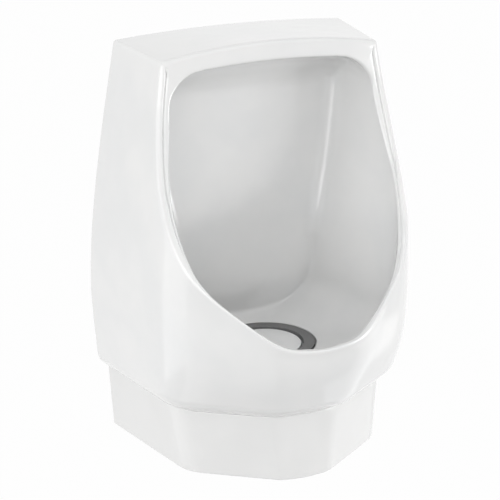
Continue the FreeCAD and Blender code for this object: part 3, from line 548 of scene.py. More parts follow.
@dataclass(frozen=True)
class Glaze:
    """White fired glaze, unglazed and matt where the attribute "bare" is set."""

    name: str = "white_glaze"
    white: Colour = (0.80, 0.80, 0.795)
    thick: Colour = (0.76, 0.765, 0.765)
    speck: Colour = (0.55, 0.53, 0.50)
    speck_share: float = 0.35
    clay: Colour = (0.66, 0.63, 0.57)
    pale_clay: Colour = (0.74, 0.71, 0.66)
    clay_grain: float = 2.0
    grain_scale: float = 900.0
    clay_roughness: float = 0.62
    roughness: float = 0.16
    coat_roughness: float = 0.13
    ripple: float = 0.03
    ripple_height: float = 0.0012
    ripple_scale: float = 26.0
    refraction: float = 1.5
    pools: Patches = Patches(9.0, 3.0, 0.35, 0.7)
    speckled: Patches = Patches(60.0, 1.0, 0.62, 0.72)
    uneven: Patches = Patches(35.0, 2.0, 0.3, 0.7)
    glossier: float = 0.75
    duller: float = 1.3
    speck_scale: float = 420.0
    speck_core: float = 0.02
    speck_edge: float = 0.10

    def material(self) -> bpy.types.Material:
        """Pooled whites, faint specks, a slow ripple, and bare clay behind.

        Returns:
            The material.
        """
        paint = Paint(self.name)
        place = paint.place()
        bare = paint.add("ShaderNodeAttribute", {"attribute_name": "bare"}, {}, "Fac").clamped()
        cells = paint.cells(place, self.speck_scale)
        speck = paint.ramp(cells, self.speck_core, self.speck_edge, to_low=1.0, to_high=0.0)
        coloured = paint.mix(paint.patched(place, self.pools), self.white, self.thick)
        speck = speck * paint.patched(place, self.speckled)
        coloured = paint.mix(speck * self.speck_share, coloured, self.speck)
        grain = paint.noise(place, self.grain_scale, detail=4.0, rough=0.6)
        clay = paint.mix(grain, self.clay, self.pale_clay)
        gloss = paint.patched(place, self.uneven, self.roughness * self.glossier, self.roughness * self.duller)
        rough = gloss + bare * (self.clay_roughness - gloss)
        wave = paint.noise(place, self.ripple_scale, rough=0.4) + grain * bare * self.clay_grain
        normal = paint.bump(wave, self.ripple, self.ripple_height)
        return paint.finish(Base_Color=paint.mix(bare, coloured, clay), Roughness=rough, Normal=normal,
                            Coat_Weight=1.0 - bare, Coat_Roughness=self.coat_roughness, IOR=self.refraction)


@dataclass(frozen=True)
class Moulded:
    """Moulded plastic with slow colour change and a fine grain."""

    name: str
    colour: Colour
    roughness: float = 0.32
    grain: float = 0.10
    scale: float = 700.0
    coat: float = 0.0
    coat_roughness: float = 0.08
    shade: float = 0.97
    scuff_roughness: float = 0.06
    grain_height: float = 0.0003
    refraction: float = 1.48
    clouds: Patches = Patches(14.0, 3.0, 0.3, 0.75)
    scuffs: Patches = Patches(1.0, 5.0, 0.55, 0.8)
    scuff_scale: Triple = (30.0, 30.0, 160.0)
    uneven: Patches = Patches(50.0, 3.0, 0.3, 0.7)
    glossier: float = 0.85
    duller: float = 1.15

    def material(self) -> bpy.types.Material:
        """Two close shades, uneven gloss and a fine pebbled grain.

        Returns:
            The material.
        """
        paint = Paint(self.name)
        place = paint.place()
        darker = tuple(self.shade * value for value in self.colour)
        cloud = paint.patched(place, self.clouds)
        scuff = paint.patched(paint.stretched(place, self.scuff_scale), self.scuffs)
        gloss = paint.patched(place, self.uneven, self.roughness * self.glossier, self.roughness * self.duller)
        rough = gloss + scuff * self.scuff_roughness
        normal = paint.bump(paint.cells(place, self.scale), self.grain, self.grain_height)
        return paint.finish(Base_Color=paint.mix(cloud, self.colour, darker), Roughness=rough, Normal=normal,
                            Coat_Weight=self.coat, Coat_Roughness=self.coat_roughness, IOR=self.refraction)


@dataclass(frozen=True)
class Rubber:
    """Matt rubber with a dusty bloom."""

    name: str
    colour: Colour
    bloom: Colour
    bloom_share: float = 0.6
    grain: float = 0.2
    grain_height: float = 0.0003
    grain_scale: float = 1500.0
    refraction: float = 1.45
    dusty: Patches = Patches(40.0, 5.0, 0.5, 0.75, 0.6)
    least_rough: float = 0.6
    most_rough: float = 0.78

    def material(self) -> bpy.types.Material:
        """Dark rubber, bloom in soft patches and a fine rough grain.

        Returns:
            The material.
        """
        paint = Paint(self.name)
        place = paint.place()
        patch = paint.patched(place, self.dusty)
        grain = paint.noise(place, self.grain_scale, detail=3.0)
        rough = paint.ramp(grain, *NOISE_SPAN, self.least_rough, self.most_rough)
        coloured = paint.mix(patch * self.bloom_share, self.colour, self.bloom)
        normal = paint.bump(grain, self.grain, self.grain_height)
        return paint.finish(Base_Color=coloured, Roughness=rough, Normal=normal, IOR=self.refraction)


class Grain(Enum):
    """How a metal's surface was finished."""

    SPANGLE = "zinc spangle"
    BRUSHED = "brushed lengthwise"
    TURNED = "brushed round the drain's axis"


@dataclass(frozen=True)
class Metal:
    """Metal or metal-look finish."""

    name: str
    colour: Colour
    roughness: float
    grain: Grain
    metallic: float = 1.0
    lighter: float = 1.25
    darker: float = 0.8
    smear_roughness: float = 0.05
    relief: float = 0.06
    relief_height: float = 0.0002
    spangle_scale: float = 160.0
    brush_scale: Triple = (60.0, 900.0, 1500.0)
    turning_scale: float = 5200.0
    gloss_span: tuple[float, float] = (0.25, 0.75)
    smears: Patches = Patches(30.0, 4.0, 0.4, 0.75)
    glossier: float = 0.8
    duller: float = 1.25

    def pattern(self, paint: Paint, place: Sock) -> Sock:
        """Pattern of the finish: one tone per cell, noise drawn out lengthwise, or noise of the radius.

        Args:
            paint: the material's nodes.
            place: Object coordinates.

        Returns:
            The pattern, from 0 to 1.
        """
        if self.grain is Grain.SPANGLE:
            return paint.noise(paint.cells(place, self.spangle_scale, "Color"), scale=1.0, detail=0.0)
        if self.grain is Grain.BRUSHED:
            return paint.noise(paint.stretched(place, self.brush_scale), scale=1.0, detail=3.0)
        centre = (0.0, -DRAIN_DEPTH * MM, 0.0)
        offset = paint.add("ShaderNodeVectorMath", {"operation": "SUBTRACT"}, {0: place, 1: centre})
        flat = paint.stretched(offset, (1.0, 1.0, 0.0))
        radius = paint.add("ShaderNodeVectorMath", {"operation": "LENGTH"}, {0: flat}, "Value")
        values = {"W": radius * self.turning_scale, "Scale": 1.0, "Detail": 3.0}
        return paint.add("ShaderNodeTexNoise", {"noise_dimensions": "1D"}, values)

    def material(self) -> bpy.types.Material:
        """Pattern in colour and gloss, with soft handling marks.

        Returns:
            The material.
        """
        paint = Paint(self.name)
        place = paint.place()
        pattern = self.pattern(paint, place)
        smear = paint.patched(place, self.smears)
        light = tuple(min(1.0, self.lighter * value) for value in self.colour)
        dark = tuple(self.darker * value for value in self.colour)
        gloss = paint.ramp(pattern, *self.gloss_span, self.roughness * self.glossier,
                           self.roughness * self.duller)
        rough = gloss + smear * self.smear_roughness
        normal = paint.bump(pattern, self.relief, self.relief_height)
        coloured = paint.mix(paint.ramp(pattern, *NOISE_SPAN), dark, light)
        return paint.finish(Base_Color=coloured, Roughness=rough, Metallic=self.metallic, Normal=normal)


Finish = Union[Glaze, Moulded, Rubber, Metal]


def wear(piece: bpy.types.Object, finish: Finish, body: str, slot: str, *nodes: str) -> None:
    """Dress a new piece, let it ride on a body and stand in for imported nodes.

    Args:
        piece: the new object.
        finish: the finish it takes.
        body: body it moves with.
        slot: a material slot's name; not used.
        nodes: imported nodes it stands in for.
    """
    piece.data.materials.append(finish.material())
    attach(piece, body)
    if nodes:
        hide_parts(*nodes)
    log.info("%s: %d faces on %s", piece.name, len(piece.data.polygons), body)


@dataclass
class ChinaBody:
    """The glazed body: outside, raked rim, bowl, drain seat and hollow back. Sizes in millimetres."""

    half_width: float = 225.0
    nose_depth: float = 334.0
    nose_bulge: float = 5.0
    nose_radius: float = 300.0
    nose_shrink: float = 0.3
    corner_shrink: float = 0.6
    bottom: float = 100.5
    top: float = 600.0
    crown_wall: float = 7.5
    crown_front: float = 15.0
    crown_front_depth: float = 150.0
    crown_wall_inset: float = 49.0
    crown_front_inset: float = 15.0
    tuck_radius: float = 30.0
    tuck_top: float = 127.0
    wall: float = 12.0
    cavity_top: float = 584.0
    edge_round: float = 4.5
    rim_round: float = 6.0
    lip_round: float = 17.0
    lip_round_share: float = 0.85
    lip_round_heights: Triple = (240.0, 330.0, 430.0)
    mouth_round: float = 4.5
    groove_depth: float = 2.4
    groove_place: float = 4.0
    groove_width: float = 1.3
    groove_fade: tuple[float, float] = (222.0, 256.0)
    drain_depth: float = DRAIN_DEPTH
    drain_radius: float = 76.0
    drain_height: float = 157.0
    lip_height: float = 222.0
    ceiling_start: float = 515.0
    ceiling_rise: float = 62.0
    ceiling_reach: float = 100.0
    ceiling_corner: float = 41.0
    ceiling_arch: float = 10.0
    bowl_back: float = 50.0
    floor_power: float = 2.4
    side_lines: int = 112
    edge_lines: int = 8
    top_lines: int = 52
    halvings: int = 46
    edge_rounds: int = 12
    edge_samples: int = 1600
    ray_drop: float = 430.0
    mouth_levels: tuple[float, float] = (0.2, 3.6)
    panel_recess: float = 50.0
    panel_fold: float = 14.0
    least_fold: float = 0.001
    panel_top: float = 290.0
    panel_lean: float = 0.26
    band_bend: float = 8.0
    panel_band: float = 211.0
    panel_band_rise: float = 26.0
    crease: np.ndarray = field(default_factory=lambda: np.array([
        [222.0, 14.0], [270.0, 30.0], [320.0, 34.0], [380.0, 24.0], [480.0, 18.0], [577.0, 18.0]]))
    rim: np.ndarray = field(default_factory=lambda: np.array([
        [214.9, -343.0], [242.8, -323.6], [300.1, -279.0], [371.9, -224.0], [410.0, -200.0],
        [449.1, -182.5], [533.2, -160.0], [580.0, -153.5], [630.6, -149.4]]))
    mouth: np.ndarray = field(default_factory=lambda: np.array([
        [211.0, -339.0], [220.0, -330.5], [236.0, -317.5], [258.0, -297.5], [284.0, -276.0],
        [314.0, -255.5], [347.0, -236.0], [380.0, -218.5], [413.0, -202.0], [449.1, -184.0],
        [490.0, -169.5], [533.2, -159.5], [630.6, -149.4]]))
    drain_turns: np.ndarray = field(default_factory=lambda: np.array([
        [0.0, 0.0], [0.22, 32.0], [0.64, 96.0], [0.94, 163.0], [1.0, 180.0]]))

    def stations(self) -> np.ndarray:
        """Level outlines of the outside.

        Returns:
            Rows of height, wall x, corner x and y, nose x and y, corner and nose radius.
        """
        n = -self.nose_depth
        return np.array([
            [100.5, 219.0, 179.0, -204.0, 52.0, n + 45.5, 85.0, 80.0],
            [127.0, 218.5, 182.0, -217.0, 54.0, n + 30.0, 95.0, 90.0],
            [180.0, 222.5, 184.0, -240.0, 60.0, n + 8.0, 115.0, 120.0],
            [235.0, 225.0, 185.0, -250.0, 64.0, n, 130.0, 150.0],
            [330.0, 220.0, 183.5, -252.0, 64.0, n, 130.0, 150.0],
            [450.0, 204.6, 176.5, -252.0, 60.0, n, 130.0, 150.0],
            [620.0, 176.1, 152.0, -252.0, 55.0, n, 130.0, 150.0]])

    def bowl_stations(self) -> np.ndarray:
        """Level outlines of the bowl.

        Returns:
            Rows of height, half width at the back, corner x and y, nose x and y, corner and nose radius.
        """
        n = -self.nose_depth
        return np.array([
            [222.0, 115.0, 178.0, -244.0, 56.0, n + 9.0, 112.0, 120.0],
            [301.1, 122.0, 181.0, -246.0, 58.0, n + 7.0, 112.0, 120.0],
            [400.7, 135.0, 188.0, -246.0, 58.0, n + 7.0, 112.0, 120.0],
            [450.5, 141.0, 181.5, -246.0, 58.0, n + 7.0, 112.0, 120.0],
            [515.0, 148.0, 165.0, -246.0, 54.0, n + 7.0, 112.0, 120.0],
            [577.0, 150.0, 153.0, -246.0, 51.0, n + 7.0, 112.0, 120.0]])

    def tuck(self, height: np.ndarray) -> np.ndarray:
        """How far the bottom edge's quarter round draws the outside in at a height."""
        below = np.clip(self.tuck_top - height, 0.0, self.tuck_radius)
        return self.tuck_radius - np.sqrt(self.tuck_radius ** 2 - below ** 2)

    def rim_depth(self, height: np.ndarray) -> np.ndarray:
        """Depth of the rim's outer edge at a height."""
        return smooth_rows(self.rim[:, 0], self.rim[:, 1:], height)[..., 0]

    def mouth_depth(self, height: np.ndarray) -> np.ndarray:
        """Depth of the rim's inner edge at a height; towards the lip the rim's face turns level."""
        return smooth_rows(self.mouth[:, 0], self.mouth[:, 1:], height)[..., 0]

    def rounding(self, height: np.ndarray) -> np.ndarray:
        """Reach of the rim's outer rounding at a height; it is softest at the lip."""
        reach = [self.lip_round, self.lip_round_share * self.lip_round, self.rim_round]
        return np.interp(height, self.lip_round_heights, reach)

    def cutting(self, height: np.ndarray) -> np.ndarray:
        """How much the panel cuts into the bowl at a height: fully below the lip, not at all high up."""
        t = np.clip((self.panel_top - height) / (self.panel_top - self.lip_height), 0.0, 1.0)
        return t * t * (3 - 2 * t)

    def before_panel(self, point: np.ndarray, height: np.ndarray, back: np.ndarray) -> np.ndarray:
        """Depth of the bowl's points, held in front of the back panel.

        The panel is level with back, and below a band that rises to the corners it leans away. The
        lesser of both depths is taken, with the corner between them rounded where the panel cuts.

        Args:
            point: x and y of the bowl's points, of shape (..., 2).
            height: their heights.
            back: depth of the panel's upright part there.

        Returns:
            The depths.
        """
        side = np.minimum(np.abs(point[..., 0]) / self.bowl_stations()[0, 1], 1.0)
        band = self.panel_band + self.panel_band_rise * side ** 2 - height
        panel = back + self.panel_lean * (band + np.sqrt(band ** 2 + self.band_bend ** 2)) / 2
        bend = np.maximum(self.panel_fold * self.cutting(height), self.least_fold)
        near = np.maximum(bend - np.abs(point[..., 1] - panel), 0.0)
        return np.minimum(point[..., 1], panel) - near ** 2 / (4 * bend)

    def outer(self, share: np.ndarray, height: np.ndarray, inset: Union[float, np.ndarray] = 0.0) -> np.ndarray:
        """Outside surface.

        The level outline has its corners from the stations at that height, is drawn in by the bottom
        tuck and the inset, and is walked from the wall (share 0) to the nose's middle (share 1).

        Args:
            share: position along the half outline.
            height: level.
            inset: extra distance inside the glaze.

        Returns:
            Points of shape (..., 3).
        """
        share, height, inset = np.broadcast_arrays(share, height, inset)
        rows = self.stations()
        wall, cx, cy, nx, ny, cr, nr = np.moveaxis(smooth_rows(rows[:, 0], rows[:, 1:], height), -1, 0)
        none = np.zeros_like(wall)
        corners = half_outline((wall, none), (cx, cy), (nx, ny), (none, ny - self.nose_bulge))
        depth = inset + self.tuck(height)
        corners = inset_outline(corners, depth)
        corner, nose = cr - self.corner_shrink * depth, nr - self.nose_shrink * depth
        radii = np.stack([none, corner, nose, none + self.nose_radius], axis=-1)
        return np.concatenate([rounded_path(corners, radii, share), height[..., None]], axis=-1)

    def crown(self, x: np.ndarray, y: np.ndarray) -> np.ndarray:
        """Crowned top: a parabola across, higher and narrower towards the front.

        Args:
            x: distance from the middle plane.
            y: depth.

        Returns:
            Heights.
        """
        share = -y / self.crown_front_depth
        rise = self.crown_wall + (self.crown_front - self.crown_wall) * share
        half = self.half_width - self.crown_wall_inset - self.crown_front_inset * share
        radius = (half ** 2 + rise ** 2) / (2 * rise)
        return self.top + rise - x ** 2 / (2 * radius)

    @property
    def ceiling(self) -> float:
        """Height of the bowl's ceiling before its arch."""
        return self.ceiling_start + self.ceiling_rise

    def bowl_outline(self, share: np.ndarray, height: np.ndarray, floor: np.ndarray, back: np.ndarray,
                     outset: np.ndarray) -> np.ndarray:
        """Level outline of the bowl, before the drain and the panel.

        Its corners come from the bowl's stations, and below the lip they follow the first stations'
        slope. A quarter round draws its sides in under the ceiling, and its back side moves behind the
        panel where the panel cuts.

        Args:
            share: position along the half outline, 0 behind and 1 in front.
            height: level.
            floor: how far up the floor the level is.
            back: depth of the panel's upright part.
            outset: distance behind the glaze.

        Returns:
            Points of shape (..., 2).
        """
        table = self.bowl_stations()
        rows = smooth_rows(table[:, 0], table[:, 1:], np.maximum(height, self.lip_height))
        slope = (table[1, 1:] - table[0, 1:]) / (table[1, 0] - table[0, 0])
        rows = rows + slope * (np.minimum(height - self.lip_height, 0.0) * floor)[..., None]
        half, cx, cy, nx, ny, cr, nr = np.moveaxis(rows, -1, 0)
        over = np.clip(height - (self.ceiling - self.ceiling_corner), 0.0, self.ceiling_corner)
        draw = self.ceiling_corner - np.sqrt(self.ceiling_corner ** 2 - over ** 2)
        none = np.zeros_like(half)
        recess = self.panel_recess * self.cutting(height)
        behind = half - draw + recess * (cx - half) / (cy - back)
        corners = half_outline((behind, back + recess), (cx - draw, cy), (nx, ny), (none, ny - self.nose_bulge))
        corners = inset_outline(corners, -outset)
        side = unit(corners[..., 0, :] - corners[..., 1, :])
        corners[..., 0, :] += side * (outset / side[..., 1])[..., None]
        middle = np.stack([none, corners[..., 0, 1]], axis=-1)[..., None, :]
        corners = np.concatenate([middle, corners], axis=-2)
        crease = np.interp(height, self.crease[:, 0], self.crease[:, 1])
        radii = np.stack([none, crease, cr, nr, none + self.nose_radius], axis=-1)
        radii[..., 1:4] += outset[..., None]
        return rounded_path(corners, radii, share)

    def drain_circle(self, share: np.ndarray, outset: np.ndarray) -> np.ndarray:
        """Circle round the drain that the bowl's outline runs down to.

        Args:
            share: position along the bowl's half outline.
            outset: distance behind the glaze.

        Returns:
            Points of shape (..., 2).
        """
        turn = self.drain_turn(share)
        reach = self.drain_radius + outset
        return np.stack([reach * np.sin(turn), reach * np.cos(turn) - self.drain_depth], axis=-1)

    def bowl(self, share: np.ndarray, level: np.ndarray, outset: Union[float, np.ndarray] = 0.0) -> np.ndarray:
        """Bowl surface.

        Levels 0 to 1 are the floor, which opens from the drain's circle to the lip's outline along a
        power curve; 1 to 2 the walls up to the ceiling; 2 to 3 the ceiling, a quarter ellipse that
        brings the back panel forward and arches across; beyond 3 it runs straight on to the front.
        The back panel cuts all this off behind.

        Args:
            share: position along the half outline, 0 behind and 1 in front.
            level: how far up, as above.
            outset: distance behind the glaze.

        Returns:
            Points of shape (..., 3).
        """
        share, level, outset = np.broadcast_arrays(share, level, outset)
        floor = np.clip(level, 0.0, 1.0)
        wall = np.clip(level - 1.0, 0.0, 1.0)
        angle = np.clip(level - 2.0, 0.0, 1.0) * math.pi / 2
        beyond = np.maximum(level - 3.0, 0.0)
        height = (self.drain_height + (self.lip_height - self.drain_height) * floor
                  + (self.ceiling_start - self.lip_height) * wall + self.ceiling_rise * np.sin(angle))
        back = -self.bowl_back - self.ceiling_reach * (1.0 - np.cos(angle) + beyond)
        flat = self.bowl_outline(share, height, floor, back, outset)
        circle = self.drain_circle(share, outset)
        opened = (1.0 - (1.0 - floor) ** self.floor_power)[..., None]
        point = circle + (flat - circle) * opened
        point[..., 1] = self.before_panel(point, height, back + outset)
        up = (height - self.drain_height) / (self.ceiling - self.drain_height)
        aside = flat[..., 0] / self.bowl_stations()[-1, 1]
        arch = self.ceiling_arch * np.clip(1.0 - aside ** 2, 0.0, 1.0)
        lifted = height + outset * (2 * up - 1) + arch * np.sin(angle) ** 2
        return np.concatenate([point, lifted[..., None]], axis=-1)

    def drain_turn(self, share: np.ndarray) -> np.ndarray:
        """Angle round the drain, from behind, that a share of the bowl's outline runs down to."""
        return smooth_rows(self.drain_turns[:, 0], np.radians(self.drain_turns[:, 1:]), share)[..., 0]

    def solve(self, low: np.ndarray, high: np.ndarray,
              before: Callable[[np.ndarray], np.ndarray]) -> np.ndarray:
        """Halve spans until only the place where a test changes is left.

        Args:
            low: starts of the spans, where the test is true.
            high: ends of the spans, where it is false.
            before: the test, for a value in each span.

        Returns:
            The places.
        """
        for _ in range(self.halvings):
            middle = (low + high) / 2
            inside = before(middle)
            low = np.where(inside, middle, low)
            high = np.where(inside, high, middle)
        return (low + high) / 2

    def edge_height(self) -> float:
        """Find where the side's outline, the rim and the top would meet, by rounds of correction.

        Returns:
            The height.
        """
        height = self.top
        for _ in range(self.edge_rounds):
            level = np.array([height])
            share = self.solve(np.zeros(1), np.ones(1),
                               lambda q: self.outer(q, level)[..., 1] > self.rim_depth(level))
            point = self.outer(share, level)[0]
            height = float(self.crown(point[0], point[1]))
        return height

    def rim_edge(self, corner: float) -> np.ndarray:
        """Outer edge of the rim.

        Rays leave the point on the nose's middle at the corner's height, and each is halved until the
        outside meets the rim's raked face.

        Args:
            corner: height of the edge's upper end.

        Returns:
            Shares and heights from the nose up to the corner.
        """
        angle = np.linspace(math.pi / 2, 0.0, self.edge_samples)
        run, drop = np.cos(angle), self.ray_drop * np.sin(angle)

        def before(reach: np.ndarray) -> np.ndarray:
            """True while the ray's point is still in front of the rim."""
            share, height = 1.0 - reach * run, corner - reach * drop
            return self.outer(share, height)[..., 1] < self.rim_depth(height)

        reach = self.solve(np.zeros_like(angle), np.ones_like(angle), before)
        return np.stack([1.0 - reach * run, corner - reach * drop], axis=-1)

    def mouth_edge(self) -> np.ndarray:
        """Inner edge of the rim: each line of the bowl is halved until it meets the mouth's curve.

        Returns:
            Shares and levels from the nose to the middle of the top.
        """
        share = np.linspace(1.0, 0.0, self.edge_samples)

        def behind(level: np.ndarray) -> np.ndarray:
            """True while the bowl's point is still behind the rim."""
            point = self.bowl(share, level)
            return point[..., 1] >= self.mouth_depth(point[..., 2])

        low, high = (np.full_like(share, level) for level in self.mouth_levels)
        return np.stack([share, self.solve(low, high, behind)], axis=-1)


def resample(curve: np.ndarray, points: np.ndarray, share: np.ndarray) -> np.ndarray:
    """Read a curve's parameters at shares of its length.

    Args:
        curve: parameters along the curve, of shape (count, 2).
        points: the curve's points in space, of shape (count, 3).
        share: shares of the length, from 0 to 1.

    Returns:
        Parameters of shape (len(share), 2).
    """
    length = lengths_along(points)
    length /= length[-1]
    return np.stack([np.interp(share, length, curve[:, i]) for i in range(2)], axis=-1)


@dataclass
class ChinaSkin:
    """Lays the body's surfaces out as one closed skin of lines from the wall over the rim into the drain.

    Rows count the points along a line, crowding above one draws them towards its start, and steps are
    the short shares of a line over which its direction is measured. Lengths are in millimetres.
    """

    body: ChinaBody
    glaze: Glaze = Glaze()
    outer_rows: int = 40
    round_rows: int = 9
    face_rows: int = 22
    bowl_rows: int = 116
    hollow_rows: int = 26
    outer_crowding: float = 1.2
    face_crowding: float = 1.5
    turn_height: float = 345.0
    end_step: float = 0.005
    leave_step: float = 0.004
    bowl_step: float = 0.004
    bowl_lead: float = 0.003
    top_step: float = 0.004
    edge_pull: float = 0.6
    round_pull: float = 0.62
    round_share: float = 0.45
    least_sine: float = 0.45
    hollow_level: float = 0.04
    hollow_backing: float = 3.0
    skin_gap: float = 1.0
    thinnest: float = 0.5
    top_drop: float = 60.0
    gap_parts: int = 60
    seat_rings: np.ndarray = field(default_factory=lambda: np.array([
        [75.75, 156.9], [75.35, 156.55], [75.08, 156.0], [75.0, 155.0], [75.0, 148.0],
        [67.0, 148.0], [67.0, 136.0], [90.0, 136.0], [90.0, 146.0]]))
    corner: float = field(init=False)
    rim_ends: np.ndarray = field(init=False)
    starts: np.ndarray = field(init=False)
    top_width: np.ndarray = field(init=False)
    top_front: float = field(init=False)

    def __post_init__(self) -> None:
        """Find the rim's two edges and the lines that start on them."""
        body = self.body
        d = body.edge_round
        self.corner = body.edge_height() - d
        edge = body.rim_edge(self.corner)
        side = np.linspace(0.0, 1.0, body.side_lines)
        self.rim_ends = resample(edge, body.outer(edge[:, 0], edge[:, 1]), side)
        turn = float(np.interp(self.turn_height, self.rim_ends[:, 1], side))
        along = np.clip(side / turn, 0.0, 1.0)
        up = np.clip((side - turn) / (1.0 - turn), 0.0, 1.0)
        wall_side = body.outer(np.zeros(1), np.array([self.corner]))[0, 0]
        wall_top = float(body.crown(wall_side, np.zeros(1))[0]) - d
        self.starts = np.stack([1.0 - along, body.bottom + (wall_top - body.bottom) * up], axis=-1)
        probe = self.side(np.array([0.0, 0.5, 1.0]))[:, -1]
        self.top_width = np.polyfit(probe[:, 1], probe[:, 0] - d, 2)
        self.top_front = float(body.rim_depth(np.array([self.corner + d]))[0])

    def line_places(self, rows: np.ndarray, lines: slice = slice(None)) -> tuple[np.ndarray, np.ndarray]:
        """Shares and heights at positions along the side lines, straight from their starts to the rim."""
        first, last = self.starts[lines], self.rim_ends[lines]
        return first[:, 0] * (1 - rows) + last[:, 0] * rows, first[:, 1] * (1 - rows) + last[:, 1] * rows

    def side(self, rows: np.ndarray, inset: Union[float, np.ndarray] = 0.0, top: float = math.inf) -> np.ndarray:
        """Side lines, straight in share and height, from the bottom and wall edges to the rim.

        Args:
            rows: positions along the lines, of shape (rows,) or (rows, columns).
            inset: distance inside the glaze.
            top: highest height kept.

        Returns:
            Points of shape (rows, columns, 3).
        """
        share, height = self.line_places(fit_lines(rows))
        return self.body.outer(share, np.minimum(height, top), inset)

    def top_sheet(self, rows: np.ndarray, columns: np.ndarray) -> np.ndarray:
        """Crowned top: x is a share of the top's half width there, y runs from the wall to the rim.

        Args:
            rows: positions from the wall to the rim, of shape (rows,) or (rows, columns).
            columns: positions from the side to the middle.

        Returns:
            Points of shape (rows, columns, 3).
        """
        x_rim = (1 - columns) * np.polyval(self.top_width, self.top_front)
        front = self.body.rim_depth(self.body.crown(x_rim, np.full_like(x_rim, self.top_front)))
        y = fit_lines(rows) * front
        x = (1 - columns) * np.polyval(self.top_width, y)
        return np.stack([x, y, self.body.crown(x, y)], axis=-1)

    def edge_strip(self, rows: np.ndarray) -> np.ndarray:
        """Rounded edge between the sides and the top, a cubic curve tangent to both.

        Args:
            rows: positions from the wall to the rim.

        Returns:
            Points of shape (rows, edge lines, 3).
        """
        t = fit_lines(rows)
        share, height = self.line_places(t, slice(-1, None))
        low = self.body.outer(share, height)[:, 0]
        rising = unit(self.body.outer(share, height + 1.0)[:, 0] - low)
        high = self.top_sheet(t, np.zeros(1))[:, 0]
        inner = self.top_sheet(t, np.array([self.top_step]))[:, 0]
        crossing = unit(high - inner)
        pull = self.edge_pull * self.body.edge_round
        curve = bezier([low, low + rising * pull, high + crossing * pull, high], self.body.edge_lines + 2)
        return np.swapaxes(curve[1:-1], 0, 1)

    def outside(self, rows: np.ndarray) -> np.ndarray:
        """All outside lines, from the nose's middle round to the middle of the top.

        Args:
            rows: positions along the lines, of shape (rows, lines).

        Returns:
            Points of shape (rows, lines, 3).
        """
        sides, tops = self.body.side_lines, self.body.top_lines
        sheets = [self.side(rows[:, :sides]), self.edge_strip(rows[:, sides]),
                  self.top_sheet(rows[:, -tops:], np.linspace(0.0, 1.0, tops))]
        return np.concatenate(sheets, axis=1)

    def mouth_lines(self, edge: np.ndarray) -> np.ndarray:
        """Points on the mouth's edge that face the rim's outer edge.

        Shares of length match below and above the upper corner, where both edges turn.

        Args:
            edge: points on the rim's outer edge.

        Returns:
            Shares and levels in the bowl.
        """
        body = self.body
        mouth = body.mouth_edge()
        points = body.bowl(mouth[:, 0], mouth[:, 1])
        slope = np.abs(np.diff(points[:, 2])) > np.abs(np.diff(points[:, 0]))
        corner = int(np.nonzero(slope)[0].max()) + 1
        turn = body.side_lines + body.edge_lines // 2
        length = lengths_along(edge)
        below = length[:turn + 1] / length[turn]
        above = (length[turn:] - length[turn]) / (length[-1] - length[turn])
        low = resample(mouth[:corner + 1], points[:corner + 1], below)
        high = resample(mouth[corner:], points[corner:], above)
        return np.concatenate([low, high[1:]], axis=0)

    def sine_to(self, edge: np.ndarray, step: np.ndarray) -> np.ndarray:
        """Sine of the angle between an edge and the steps that leave it, held off zero."""
        tangent = unit(np.gradient(edge, axis=0))
        return np.linalg.norm(np.cross(unit(step), tangent), axis=-1).clip(self.least_sine)

    def back_off(self, edge: np.ndarray, near: np.ndarray, distance: Union[float, np.ndarray]) -> np.ndarray:
        """How many short steps back along the lines leave a distance to the edge they end on.

        Args:
            edge: ends of the lines.
            near: points one short step before the ends.
            distance: distance to leave, square to the edge.

        Returns:
            Number of steps for each line.
        """
        step = edge - near
        return distance / (np.linalg.norm(step, axis=-1) * self.sine_to(edge, step))

    def groove(self, edge: np.ndarray, distance: np.ndarray) -> np.ndarray:
        """Depth of the groove in the rim's face: a bell curve of the distance from the outer rounding.

        It fades out towards the lip's middle and ends at the top's corner.

        Args:
            edge: points on the rim's outer edge.
            distance: distances of the face's points from the outer rounding.

        Returns:
            Depth at each point.
        """
        body = self.body
        bell = np.exp(-((distance - body.groove_place) / body.groove_width) ** 2)
        low = np.interp(edge[:, 2], body.groove_fade, [0.0, 1.0])
        high = np.clip((body.side_lines + body.edge_lines - np.arange(len(edge))) / body.edge_lines, 0.0, 1.0)
        return body.groove_depth * bell * low * high

    def gap_between(self, points: np.ndarray, others: np.ndarray) -> np.ndarray:
        """Distance from each point to the nearest of the others, worked out in parts to spare memory.

        Args:
            points: points of shape (rows, columns, 3).
            others: points of shape (rows, columns, 3).

        Returns:
            Distances of shape (rows, columns).
        """
        flat = points.reshape(-1, 3).astype(np.float32)
        far = others.reshape(-1, 3).astype(np.float32)
        parts = [np.sqrt(((part[:, None] - far[None]) ** 2).sum(-1).min(1))
                 for part in np.array_split(flat, self.gap_parts)]
        return np.concatenate(parts).reshape(points.shape[:-1])

    def half_gap(self, gap: np.ndarray, most: float) -> np.ndarray:
        """Wall thickness that leaves room between two skins."""
        return np.clip(gap / 2 - self.skin_gap, self.thinnest, most)

    def round_over(self, first: np.ndarray, leaving: np.ndarray, last: np.ndarray, entering: np.ndarray,
                   reach: Union[float, np.ndarray]) -> np.ndarray:
        """Round the corner between two sheets with a cubic curve tangent to both.

        Args:
            first: last points of the sheet before.
            leaving: directions in which that sheet ends.
            last: first points of the sheet after.
            entering: directions in which that sheet starts.
            reach: how far the rounding reaches.

        Returns:
            Rows of points, with both ends.
        """
        pull = self.round_pull * reach
        return bezier([first, first + leaving * pull, last - entering * pull, last], self.round_rows)

